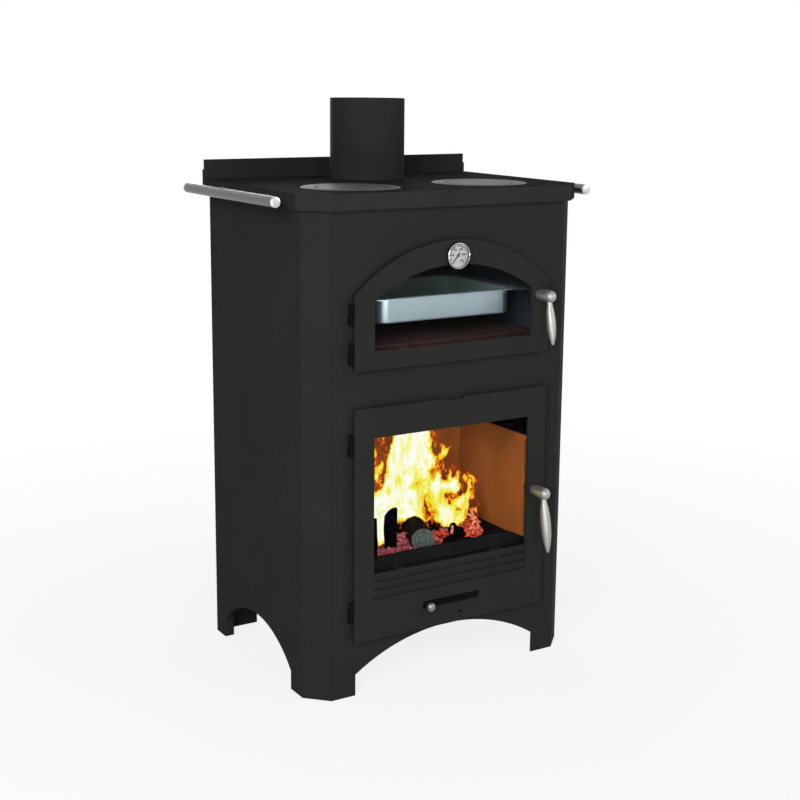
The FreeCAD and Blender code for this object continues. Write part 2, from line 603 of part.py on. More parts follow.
# Flue
node("flue_spigot", cut(fuse([
    cyl_z("spigot_radius", "0 mm", "flue_y", "casing_top - spigot_lip_thick", "hob_height + spigot_rise"),
    cyl_z("spigot_radius + spigot_lip", "0 mm", "flue_y", "casing_top - spigot_lip_thick", "casing_top"),
]), [cyl_z("spigot_radius - spigot_wall", "0 mm", "flue_y", "casing_top - 10 mm",
           "hob_height + spigot_rise + 5 mm")]))
node("flue_pipe", cut(
    cyl_z("flue_radius", "0 mm", "flue_y", "hob_height", "hob_height + flue_rise"),
    [cyl_z("flue_radius - flue_wall", "0 mm", "flue_y", "hob_height - 2 mm",
           "hob_height + flue_rise + 2 mm")]))

# Towel rails
RAIL_END = "rail_front + rail_length"
posts = []
caps = []
for name, side in (("left_rail", "-1"), ("right_rail", "1")):
    rail_x = "%s * rail_x" % side
    tube0 = "rail_front + rail_cap_thick"
    tube1 = RAIL_END + " - rail_cap_thick"
    node(name, cut(cyl_y("rail_diameter / 2", rail_x, "rail_z", tube0, tube1),
                   [cyl_y("rail_diameter / 2 - rail_wall", rail_x, "rail_z", "rail_front", RAIL_END)]))
    plug = "rail_diameter / 2 - rail_wall - fit_gap"
    caps.append(fuse([
        cyl_y("rail_diameter / 2", rail_x, "rail_z", "rail_front", tube0),
        cyl_y(plug, rail_x, "rail_z", "rail_front", tube0 + " + rail_plug")]))
    caps.append(fuse([
        cyl_y("rail_diameter / 2", rail_x, "rail_z", tube1, RAIL_END),
        cyl_y(plug, rail_x, "rail_z", tube1 + " - rail_plug", RAIL_END)]))
    for place in ("-0.5", "0.5"):
        post_y = "rail_front + rail_length / 2 + %s * post_spacing" % place
        if side == "-1":
            shaft = cyl_x("post_diameter / 2", post_y, "rail_z", "-rail_x", "-hob_half")
            flange = cyl_x("post_flange_diameter / 2", post_y, "rail_z", "-hob_half - post_flange_thick",
                           "-hob_half")
        else:
            shaft = cyl_x("post_diameter / 2", post_y, "rail_z", "hob_half", "rail_x")
            flange = cyl_x("post_flange_diameter / 2", post_y, "rail_z", "hob_half",
                           "hob_half + post_flange_thick")
        saddle = cyl_y("rail_diameter / 2 + fit_gap / 3", rail_x, "rail_z", "rail_front", RAIL_END)
        posts.append(cut(fuse([shaft, flange]), [saddle]))
node("rail_posts", group(posts))
node("rail_caps", group(caps))

# Inner shell and firebox
shell_outer = box("-shell_half", "shell_half", "front_back", "shell_rear", "base_top", "casing_top")
shell_inner = box("-shell_half + shell_wall", "shell_half - shell_wall", "front_back - 5 mm",
                  "shell_rear - shell_wall", "base_top - 5 mm", "casing_top + 5 mm")
node("inner_shell", cut(shell_outer, [shell_inner]))

SHELL_IN = "shell_half - shell_wall"
SHELL_BACK = "shell_rear - shell_wall"
GRATE_Y = "front_face + grate_set_back"
floor_plate = box("-shell_half + shell_wall", SHELL_IN, "front_back", SHELL_BACK,
                  "fire_floor_top - fire_floor_thick", "fire_floor_top")
node("fire_floor", cut(floor_plate, [
    box("-grate_width / 2 + grate_lip - fit_gap", "grate_width / 2 - grate_lip + fit_gap",
        GRATE_Y + " - grate_length / 2 + grate_lip - fit_gap",
        GRATE_Y + " + grate_length / 2 - grate_lip + fit_gap",
        "fire_floor_top - 30 mm", "fire_floor_top + 5 mm")]))

grate_solid = fuse([
    box("-grate_width / 2", "grate_width / 2", GRATE_Y + " - grate_length / 2",
        GRATE_Y + " + grate_length / 2",
        "fire_floor_top", "fire_floor_top + grate_rim"),
    box("-grate_width / 2 + grate_lip", "grate_width / 2 - grate_lip",
        GRATE_Y + " - grate_length / 2 + grate_lip", GRATE_Y + " + grate_length / 2 - grate_lip",
        "fire_floor_top - grate_drop", "fire_floor_top + grate_rim"),
])
slot_room = size("grate_width") - 2 * size("grate_lip") - size("grate_bar")
slot_count = max(1, int(slot_room // (size("grate_slot") + size("grate_bar"))))
slots = []
for index in range(slot_count):
    step = "%.1f * (grate_slot + grate_bar)" % (index - (slot_count - 1) / 2.0)
    slots.append(box(step + " - grate_slot / 2", step + " + grate_slot / 2",
                     GRATE_Y + " - grate_length / 2 + grate_lip + grate_bar",
                     GRATE_Y + " + grate_length / 2 - grate_lip - grate_bar",
                     "fire_floor_top - grate_drop - 5 mm", "fire_floor_top + grate_rim + 5 mm"))
node("grate", cut(grate_solid, slots))

BRICK_END = "firebox_rear"
node("left_firebrick", box("-firebrick_inside - firebrick_thick", "-firebrick_inside",
                           "front_face + firebrick_start", BRICK_END, "fire_floor_top", "firebrick_top"))
node("right_firebrick", box("firebrick_inside", "firebrick_inside + firebrick_thick",
                            "front_face + firebrick_start", BRICK_END, "fire_floor_top", "firebrick_top"))
node("rear_firebrick", box("-firebrick_inside", "firebrick_inside", "front_face + firebox_depth", BRICK_END,
                           "fire_floor_top", "firebrick_top"))
node("baffle", box("-firebrick_inside - firebrick_thick", "firebrick_inside + firebrick_thick",
                   "front_face + baffle_start", BRICK_END, "firebrick_top", "firebrick_top + baffle_thick"))
node("firebox_back", fuse([
    box("-shell_half + shell_wall", SHELL_IN, BRICK_END, BRICK_END + " + back_plate_thick",
        "fire_floor_top", "smoke_shelf"),
    box("-shell_half + shell_wall", SHELL_IN, BRICK_END, SHELL_BACK,
        "smoke_shelf - back_plate_thick", "smoke_shelf"),
]))
RETAINER_BACK = "front_face + retainer_set_back"
RETAINER_SHOULDER = "fire_floor_top + retainer_height - retainer_slope_height"
ridge = make("Part::Wedge", "ridge")
for prop, text in (("Xmin", "-retainer_half"), ("Xmax", "retainer_half"),
                   ("X2min", "-retainer_half + retainer_slope"), ("X2max", "retainer_half - retainer_slope"),
                   ("Ymin", "0 mm"), ("Ymax", "retainer_slope_height"), ("Zmin", "0 mm"),
                   ("Zmax", "retainer_thick"), ("Z2min", "0 mm"), ("Z2max", "retainer_thick")):
    tie(ridge, prop, text)
ridge.Placement = FreeCAD.Placement(FreeCAD.Vector(0, 0, 0), FreeCAD.Rotation(FreeCAD.Vector(1, 0, 0), 90))
at(ridge, "0 mm", RETAINER_BACK, RETAINER_SHOULDER)
node("log_retainer", fuse([
    ridge,
    box("-retainer_half", "retainer_half", RETAINER_BACK + " - retainer_thick", RETAINER_BACK,
        "fire_floor_top", RETAINER_SHOULDER),
]))

PAN_FRONT = "front_face + pan_set_back"
pan_shell = cut(
    box("-pan_half", "pan_half", PAN_FRONT, PAN_FRONT + " + pan_depth", "base_top",
        "base_top + pan_height"),
    [box("-pan_half + pan_wall", "pan_half - pan_wall", PAN_FRONT + " + pan_wall",
         PAN_FRONT + " + pan_depth - pan_wall", "base_top + pan_wall", "base_top + pan_height + 5 mm")])
pan_grip = box("-pan_grip_width / 2", "pan_grip_width / 2", PAN_FRONT + " - pan_grip_reach",
               PAN_FRONT + " + pan_wall",
               "base_top + pan_height - pan_wall", "base_top + pan_height")
node("ash_pan", fuse([pan_shell, pan_grip]))

# Oven box, hearth, runners and tray
OVEN_BACK = "front_face + oven_depth"
oven_outer = arched("oven_half + oven_wall", "oven_floor - oven_wall",
                    "oven_door_radius - oven_arch_inset + oven_wall", "oven_arch_centre",
                    "front_back", OVEN_BACK + " + oven_wall")
oven_inner = arched("oven_half", "oven_floor", "oven_door_radius - oven_arch_inset", "oven_arch_centre",
                    "front_back - 5 mm", OVEN_BACK)
node("oven_box", cut(oven_outer, [oven_inner]))
node("oven_hearth", box("-oven_half + hearth_margin", "oven_half - hearth_margin",
                        "front_face + hearth_start",
                        OVEN_BACK + " - hearth_margin", "oven_floor", "oven_floor + hearth_thick"))
runners = []
for side in (-1, 1):
    if side < 0:
        x0, x1 = "-oven_half", "-oven_half + runner_reach + tray_offset"
        w0, w1 = "-oven_half", "-oven_half + runner_thick"
    else:
        x0, x1 = "oven_half - runner_reach + tray_offset", "oven_half"
        w0, w1 = "oven_half - runner_thick", "oven_half"
    runners.append(fuse([
        box(x0, x1, "front_face + runner_start", OVEN_BACK + " - hearth_margin",
            "runner_rise - runner_thick", "runner_rise"),
        box(w0, w1, "front_face + runner_start", OVEN_BACK + " - hearth_margin",
            "runner_rise - runner_height", "runner_rise"),
    ]))
node("oven_runners", group(runners))

TRAY_FRONT = "front_face + tray_start"
TRAY_REAR = "front_face + tray_start + tray_length"


def rounded_block(half, y0, y1, radius, z0, z1):
    """Upright block with four round corners, at the tray's place."""
    pieces = [
        box("tray_offset - (%s) + (%s)" % (half, radius), "tray_offset + (%s) - (%s)" % (half, radius),
            y0, y1, z0, z1),
        box("tray_offset - (%s)" % half, "tray_offset + (%s)" % half,
            "(%s) + (%s)" % (y0, radius), "(%s) - (%s)" % (y1, radius), z0, z1),
    ]
    for sx in ("-1", "1"):
        cx = "tray_offset + %s * ((%s) - (%s))" % (sx, half, radius)
        pieces.append(cyl_z(radius, cx, "(%s) + (%s)" % (y0, radius), z0, z1))
        pieces.append(cyl_z(radius, cx, "(%s) - (%s)" % (y1, radius), z0, z1))
    return fuse(pieces)


tray_body = rounded_block("tray_half", TRAY_FRONT, TRAY_REAR, "tray_round", "tray_top - tray_height",
                          "tray_top")
tray_brim = rounded_block("tray_half + tray_lip", TRAY_FRONT + " - tray_end_lip",
                          TRAY_REAR + " + tray_end_lip",
                          "tray_round + tray_end_lip", "tray_top - tray_wall", "tray_top")
tray_hollow = rounded_block("tray_half - tray_wall", TRAY_FRONT + " + tray_wall",
                            TRAY_REAR + " - tray_wall",
                            "tray_round - tray_wall", "tray_top - tray_height + tray_wall",
                            "tray_top + 5 mm")
node("oven_tray", cut(fuse([tray_body, tray_brim]), [tray_hollow]))

# Door leaves
SPINDLE_HOLE = "spindle_radius + fit_gap"


def oven_outline(inset, y0, y1):
    return arched("door_half - (%s)" % inset, "oven_door_bottom + (%s)" % inset,
                  "oven_door_radius - (%s)" % inset, "oven_arch_centre", y0, y1)


def oven_pane(grow, y0, y1):
    return arched("window_half + (%s)" % grow, "oven_window_bottom - (%s)" % grow,
                  "oven_window_radius + (%s)" % grow, "window_arch_centre", y0, y1)


def fire_outline(inset, y0, y1):
    return box("-door_half + (%s)" % inset, "door_half - (%s)" % inset, y0, y1,
               "fire_door_bottom + (%s)" % inset, "fire_door_top - (%s)" % inset)


def fire_pane(grow, y0, y1):
    return box("-window_half - (%s)" % grow, "window_half + (%s)" % grow, y0, y1,
               "fire_window_bottom - (%s)" % grow, "fire_window_top + (%s)" % grow)


L0, L1 = "leaf_front - 2 mm", "leaf_back + 2 mm"
oven_leaf_body = cut(oven_outline("0 mm", "leaf_front", "leaf_back"), [
    oven_pane("0 mm", L0, L1),
    cyl_y(SPINDLE_HOLE, "handle_offset", "oven_handle_rise", L0, L1),
    cyl_y("stem_radius + fit_gap", "0 mm", "gauge_rise", L0, L1),
])
fire_cuts = [
    fire_pane("0 mm", L0, L1),
    cyl_y(SPINDLE_HOLE, "handle_offset", "fire_handle_rise", L0, L1),
    obround_y("slot_length", "slot_height", "0 mm", "slot_rise", L0, L1),
    obround_y("mark_length", "mark_height", "mark_offset", "mark_rise", L0, L1),
    box("-notch_width / 2", "notch_width / 2", L0, L1, "fire_door_top - notch_depth",
        "fire_door_top + 1 mm"),
]
for index in range(3):
    wedge = make("Part::Wedge", "louvre")
    for prop, text in (("Xmin", "0 mm"), ("Xmax", "louvre_width"), ("X2min", "0 mm"), ("X2max",
        "louvre_width"),
                       ("Ymin", "0 mm"), ("Ymax", "louvre_depth"), ("Zmin", "0 mm"), ("Zmax",
                           "louvre_height"),
                       ("Z2min", "0 mm"), ("Z2max", "louvre_height / 8")):
        tie(wedge, prop, text)
    at(wedge, "-louvre_width / 2", "leaf_front", "louvre_bottom + %d * louvre_pitch" % index)
    fire_cuts.append(wedge)
fire_leaf_body = cut(fire_outline("0 mm", "leaf_front", "leaf_back"), fire_cuts)

node("oven_door_glass", oven_pane("glass_lap", "leaf_back", "leaf_back + glass_thick"))
node("fire_door_glass", fire_pane("glass_lap", "leaf_back", "leaf_back + glass_thick"))

SEAL_BACK = "front_face - fit_gap"
node("oven_door_seal", cut(oven_outline("seal_outside", "leaf_back", SEAL_BACK),
                           [oven_outline("seal_outside + seal_width", L0, "front_face + 2 mm")]))
node("fire_door_seal", cut(fire_outline("seal_outside", "leaf_back", SEAL_BACK),
                           [fire_outline("seal_outside + seal_width", L0, "front_face + 2 mm")]))


# Glass clips: a foot on the leaf, a riser beside the pane and a lip over it
def clip(x, edge, way):
    glass = "leaf_back + glass_thick"

    def strip(near, far, y0, y1):
        a = "(%s) + %s * (%s)" % (edge, way, near)
        b = "(%s) + %s * (%s)" % (edge, way, far)
        low, high = (a, b) if way == "1" else (b, a)
        return box("%s - clip_width / 2" % x, "%s + clip_width / 2" % x, y0, y1, low, high)

    return cut(fuse([
        strip("fit_gap", "fit_gap + clip_foot", "leaf_back", "leaf_back + clip_thick"),
        strip("fit_gap", "fit_gap + clip_thick", "leaf_back", glass + " + clip_thick"),
        strip("-clip_lap", "fit_gap + clip_thick", glass, glass + " + clip_thick"),
    ]), [cyl_y("clip_screw_radius / 2 + fit_gap", x, screw_height(edge, way), L0,
               "leaf_back + clip_thick + 1 mm")])


def screw_height(edge, way):
    return "(%s) + %s * (fit_gap + clip_thick / 2 + clip_foot / 2 + clip_thick / 2)" % (edge, way)


def clip_screw(x, edge, way):
    z = screw_height(edge, way)
    head = "leaf_back + clip_thick"
    return fuse([
        cyl_y("clip_screw_radius", x, z, head, head + " + clip_screw_head"),
        cyl_y("clip_screw_radius / 2", x, z, "leaf_back - leaf_thick / 2", head + " + clip_screw_head"),
    ])


def clip_hole(x, edge, way):
    return cyl_y("clip_screw_radius / 2 + fit_gap", x, screw_height(edge, way),
                 "leaf_back - leaf_thick / 2", L1)


OVEN_PANE_TOP = ("window_arch_centre + sqrt((oven_window_radius + glass_lap) ^ 2"
                 " - (clip_offset - clip_width / 2) ^ 2)")
oven_clip_places = []
fire_clip_places = []
for clip_x in ("-clip_offset", "clip_offset"):
    oven_clip_places.append((clip_x, "oven_window_bottom - glass_lap", "-1"))
    oven_clip_places.append((clip_x, OVEN_PANE_TOP, "1"))
    fire_clip_places.append((clip_x, "fire_window_bottom - glass_lap", "-1"))
    fire_clip_places.append((clip_x, "fire_window_top + glass_lap", "1"))
node("oven_glass_clips", group([clip(*place) for place in oven_clip_places]))
node("fire_glass_clips", group([clip(*place) for place in fire_clip_places]))
node("oven_clip_screws", group([clip_screw(*place) for place in oven_clip_places]))
node("fire_clip_screws", group([clip_screw(*place) for place in fire_clip_places]))
node("oven_door_leaf", cut(oven_leaf_body, [clip_hole(*place) for place in oven_clip_places]))
node("fire_door_leaf", cut(fire_leaf_body, [clip_hole(*place) for place in fire_clip_places]))


# Lift-off hinges: fixed knuckle and pin on the casing, moving knuckle on the leaf's edge
HINGE_Y = "leaf_back"


def bracket(z):
    top = "%s + barrel_height" % z
    return cut(fuse([
        cyl_z("barrel_radius", "hinge_x", HINGE_Y, z, top),
        box("hinge_x - bracket_web / 2", "hinge_x + bracket_web / 2", HINGE_Y, "front_face", z, top),
    ]), [cyl_z("hinge_pin_radius + fit_gap / 3", "hinge_x", HINGE_Y, z + " + barrel_floor",
               top + " + 1 mm")])


def hinge_pin(z):
    return cyl_z("hinge_pin_radius", "hinge_x", HINGE_Y, z + " + barrel_floor",
                 z + " + 2 * barrel_height - 2 * barrel_floor")


def knuckle(z):
    low = "%s + barrel_height + fit_gap" % z
    top = "%s + 2 * barrel_height" % z
    web_front = "(leaf_front + leaf_back) / 2 - hinge_web / 2"
    web_back = "(leaf_front + leaf_back) / 2 + hinge_web / 2"
    return cut(fuse([
        cyl_z("barrel_radius", "hinge_x", HINGE_Y, low, top),
        box("hinge_x", "-door_half", web_front, web_back, low, top),
    ]), [cyl_z("hinge_pin_radius + fit_gap", "hinge_x", HINGE_Y, low + " - 1 mm", top + " - barrel_floor")])


OVEN_HINGES = ("oven_hinge_low", "oven_hinge_high")
FIRE_HINGES = ("fire_hinge_low", "fire_hinge_high")
node("hinge_brackets", group([bracket(z) for z in OVEN_HINGES + FIRE_HINGES]))
node("hinge_pins", group([hinge_pin(z) for z in OVEN_HINGES + FIRE_HINGES]))
node("oven_hinge_knuckles", group([knuckle(z) for z in OVEN_HINGES]))
node("fire_hinge_knuckles", group([knuckle(z) for z in FIRE_HINGES]))

# Handles: hub with spindle, hanging grip and latch tongue behind the casing sheet
HUB_FRONT = "leaf_front - hub_length"
GRIP_Y = "leaf_front - grip_set_out"
LEANING = FreeCAD.Rotation(FreeCAD.Vector(-1, 0, 0), 10)
TONGUE_FRONT = "front_back + tongue_gap"
TONGUE_BACK = "front_back + tongue_gap + tongue_thick"


def hang(obj, z, below):
    """Put an object on a grip's leaning axis, a length below the hub."""
    at(obj, "handle_offset", "%s - %s * sin(grip_lean)" % (GRIP_Y, below),
       "%s - hub_diameter / 2 - %s * cos(grip_lean)" % (z, below))
    tie(obj, "Placement.Rotation.Angle", "grip_lean")


def leaning(radius, length, z, below):
    """Round bar up a grip's leaning axis."""
    bar = make("Part::Cylinder", "round")
    tie(bar, "Radius", radius)
    tie(bar, "Height", length)
    bar.Placement = FreeCAD.Placement(FreeCAD.Vector(0, 0, 0), LEANING)
    hang(bar, z, below)
    return bar


def hub(z):
    barrel = cyl_y("hub_diameter / 2", "handle_offset", z, HUB_FRONT + " + hub_round",
                   "leaf_front - fit_gap")
    nose = make("Part::Cone", "nose")
    tie(nose, "Radius1", "hub_diameter / 2 - hub_round")
    tie(nose, "Radius2", "hub_diameter / 2")
    tie(nose, "Height", "hub_round")
    nose.Placement = FreeCAD.Placement(FreeCAD.Vector(0, 0, 0), ALONG_Y)
    at(nose, "handle_offset", HUB_FRONT, z)
    spindle = cyl_y("spindle_radius", "handle_offset", z, HUB_FRONT + " + hub_round",
                    TONGUE_BACK + " + spindle_end")
    seat = leaning("grip_neck_radius + fit_gap / 3", "grip_seat + 5 mm", z, "5 mm")
    return cut(fuse([barrel, nose, spindle]), [seat])


def grip(z, length, radius, half):
    bulb = make("Part::Ellipsoid", "bulb")
    tie(bulb, "Radius1", half)
    tie(bulb, "Radius2", radius)
    tie(bulb, "Radius3", radius)
    bulb.Angle1 = -90
    bulb.Angle2 = 90
    bulb.Angle3 = 360
    bulb.Placement = FreeCAD.Placement(FreeCAD.Vector(0, 0, 0), LEANING)
    below = "(%s - %s)" % (length, half)
    hang(bulb, z, below)
    stem = leaning("grip_neck_radius", below + " + grip_seat", z, below)
    return fuse([bulb, stem])


def tongue(z):
    eye = cyl_y("tongue_eye", "handle_offset", z, TONGUE_FRONT, TONGUE_BACK)
    arm = box("handle_offset - tongue_width / 2", "handle_offset + tongue_width / 2", TONGUE_FRONT,
              TONGUE_BACK,
              z + " - tongue_reach", z)
    return cut(fuse([eye, arm]), [cyl_y("spindle_radius + fit_gap / 3", "handle_offset", z,
                                        TONGUE_FRONT + " - 2 mm", TONGUE_BACK + " + 2 mm")])


node("oven_handle_hub", hub("oven_handle_rise"))
node("oven_handle_grip", grip("oven_handle_rise", "oven_grip_length", "oven_grip_radius", "oven_grip_half"))
node("oven_latch_tongue", tongue("oven_handle_rise"))
node("fire_handle_hub", hub("fire_handle_rise"))
node("fire_handle_grip", grip("fire_handle_rise", "fire_grip_length", "fire_grip_radius", "fire_grip_half"))
node("fire_latch_tongue", tongue("fire_handle_rise"))

# Thermometer
GAUGE_IN = "gauge_radius - gauge_wall"
LENS_FRONT = "gauge_front + lens_recess"
case = cut(cyl_y("gauge_radius", "0 mm", "gauge_rise", "gauge_front", "leaf_front"), [
    cyl_y(GAUGE_IN, "0 mm", "gauge_rise", "gauge_front - 1 mm", "leaf_front - gauge_floor"),
    cyl_y("stem_radius + fit_gap / 3", "0 mm", "gauge_rise", "gauge_front - 1 mm", "leaf_front + 1 mm"),
])
node("thermometer_case", case)
node("thermometer_dial", cut(
    cyl_y(GAUGE_IN + " - fit_gap / 3", "0 mm", "gauge_rise", "dial_front", "leaf_front - gauge_floor"),
    [cyl_y("stem_radius / 3 + fit_gap", "0 mm", "gauge_rise", "dial_front - 1 mm", "leaf_front")]))
node("thermometer_lens", cyl_y(GAUGE_IN + " - fit_gap / 3", "0 mm", "gauge_rise", LENS_FRONT,
                               LENS_FRONT + " + lens_thick"))
node("thermometer_stem", fuse([
    cyl_y("stem_radius", "0 mm", "gauge_rise", "leaf_front - gauge_floor", "leaf_front + stem_length"),
    cyl_y("stem_radius / 3", "0 mm", "gauge_rise", "dial_front - fit_gap", "leaf_front"),
]))

NEEDLE_BACK = "dial_front - 2 * fit_gap"
NEEDLE_FRONT = "dial_front - 2 * fit_gap - needle_thick"
pointer = make("Part::Wedge", "pointer")
for prop, text in (("Xmin", "-needle_width / 2"), ("Xmax", "needle_width / 2"), ("X2min",
    "-needle_width / 8"),
                   ("X2max", "needle_width / 8"), ("Ymin", "-needle_tail"), ("Ymax", "needle_length"),
                   ("Zmin", "0 mm"), ("Zmax", "needle_thick"), ("Z2min", "0 mm"), ("Z2max",
                       "needle_thick")):
    tie(pointer, prop, text)
down_left = FreeCAD.Rotation(FreeCAD.Vector(0, 1, 0), size("needle_angle"))
flat_down = FreeCAD.Rotation(FreeCAD.Vector(1, 0, 0), -90)
pointer.Placement = FreeCAD.Placement(FreeCAD.Vector(0, 0, 0), down_left.multiply(flat_down))
at(pointer, "0 mm", NEEDLE_FRONT, "gauge_rise")
node("thermometer_needle", fuse([
    pointer,
    cyl_y("needle_boss", "0 mm", "gauge_rise", NEEDLE_FRONT, NEEDLE_BACK),
]))

# Air slide behind the fire door's slot, with its knob and guides
SLIDE_X = "-knob_start"
SLIDE_FRONT = "leaf_back + fit_gap"
SLIDE_BACK = "leaf_back + fit_gap + slide_thick"
plate = box(SLIDE_X + " - slide_half", SLIDE_X + " + slide_half", SLIDE_FRONT, SLIDE_BACK,
            "slot_rise - slide_height / 2", "slot_rise + slide_height / 2")
node("air_slide", cut(plate, [cyl_y("knob_stem_radius + fit_gap / 3", SLIDE_X, "slot_rise",
                                    SLIDE_FRONT + " - 1 mm", SLIDE_BACK + " + 1 mm")]))
ball = make("Part::Sphere", "ball")
tie(ball, "Radius", "knob_radius")
at(ball, SLIDE_X, "leaf_front - knob_stand", "slot_rise")
node("air_knob", fuse([
    ball,
    cyl_y("knob_stem_radius", SLIDE_X, "slot_rise", "leaf_front - knob_stand",
          SLIDE_BACK + " + knob_stem_end"),
]))
guides = []
for way in ("-1", "1"):
    edge = "slot_rise + %s * (slide_height / 2 + fit_gap)" % way
    outer = "%s + %s * guide_bar" % (edge, way)
    lap = "%s - %s * guide_lap" % (edge, way)
    lip_back = SLIDE_BACK + " + fit_gap"
    if way == "1":
        bar = box("-guide_half", "guide_half", "leaf_back", lip_back + " + guide_lip", edge, outer)
        lip = box("-guide_half", "guide_half", lip_back, lip_back + " + guide_lip", lap, outer)
    else:
        bar = box("-guide_half", "guide_half", "leaf_back", lip_back + " + guide_lip", outer, edge)
        lip = box("-guide_half", "guide_half", lip_back, lip_back + " + guide_lip", outer, lap)
    guides.append(fuse([bar, lip]))
node("air_guides", group(guides))

doc.recompute()

# Every object has to be sound before anything is written
faults = []
for obj in doc.Objects:
    if "Invalid" in obj.State or "Error" in obj.State:
        faults.append("%s (%s): state %s" % (obj.Name, obj.Label, obj.State))
for name, obj in NODES.items():
    if obj.Shape.isNull() or not obj.Shape.isValid() or not obj.Shape.Solids:
        faults.append("%s: no valid solid" % name)
if faults:
    raise RuntimeError("; ".join(faults))

os.makedirs("parts", exist_ok=True)
for name, obj in NODES.items():
    obj.Shape.exportStep("parts/%s.step" % name)
    bounds = obj.Shape.BoundBox
    print("%-22s solids %d  volume %10.1f  x %7.1f %7.1f  y %7.1f %7.1f  z %7.1f %7.1f" % (
        name, len(obj.Shape.Solids), obj.Shape.Volume, bounds.XMin, bounds.XMax, bounds.YMin, bounds.YMax,
        bounds.ZMin, bounds.ZMax))
print("nodes", len(NODES))
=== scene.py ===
"""The looks of a wood-burning stove with an oven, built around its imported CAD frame."""

import math
import random

import bmesh
import bpy
from mathutils import Matrix, Vector, noise


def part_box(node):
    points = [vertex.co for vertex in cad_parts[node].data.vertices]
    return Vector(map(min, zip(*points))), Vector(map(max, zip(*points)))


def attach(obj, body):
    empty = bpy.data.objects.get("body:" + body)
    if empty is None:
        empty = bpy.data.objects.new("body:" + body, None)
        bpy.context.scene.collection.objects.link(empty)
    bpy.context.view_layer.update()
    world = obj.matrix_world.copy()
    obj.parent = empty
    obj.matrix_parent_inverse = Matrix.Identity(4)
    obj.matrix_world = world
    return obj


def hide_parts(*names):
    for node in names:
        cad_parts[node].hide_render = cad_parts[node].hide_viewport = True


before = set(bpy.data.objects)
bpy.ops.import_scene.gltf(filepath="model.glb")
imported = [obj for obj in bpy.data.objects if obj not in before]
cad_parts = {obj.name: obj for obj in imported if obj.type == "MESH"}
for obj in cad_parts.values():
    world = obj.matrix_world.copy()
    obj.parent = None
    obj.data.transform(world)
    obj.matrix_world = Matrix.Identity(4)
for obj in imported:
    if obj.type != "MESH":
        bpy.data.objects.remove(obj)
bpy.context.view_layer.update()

MM = 0.001
UP = Vector((0, 0, 1))
OUT = Vector((0, -1, 0))


def rgb(red, green, blue):
    """A display colour, 0 to 255 a channel, as the linear colour that a shader takes."""
    linear = []
    for channel in (red, green, blue):
        share = channel / 255
        linear.append(share / 12.92 if share <= 0.04045 else ((share + 0.055) / 1.055) ** 2.4)
    return (*linear, 1.0)


def mm(*values):
    """A point given in millimetres, in metres."""
    return Vector(values) * MM


# The range that a noise texture seldom leaves
NOISE_LOW = 0.3
NOISE_HIGH = 0.7
NOISE_MIDDLE = 0.5
# How far a normal points up where a face begins to be a top, and where it fully is one
TOP_FROM = 0.3
TOP_FULL = 0.7
# The colour sockets of a Mix node
MIX_FIRST = 6
MIX_SECOND = 7
MIX_RESULT = 2


def put(tree, socket, value):
    """Sets a node's input to a number or a colour, or joins an output to it."""
    if isinstance(value, bpy.types.NodeSocket):
        tree.links.new(value, socket)
    else:
        socket.default_value = value


def combine(tree, first, second, operation):
    """Two values brought together by a Math node."""
    node = tree.nodes.new("ShaderNodeMath")
    node.operation = operation
    put(tree, node.inputs[0], first)
    put(tree, node.inputs[1], second)
    return node.outputs[0]


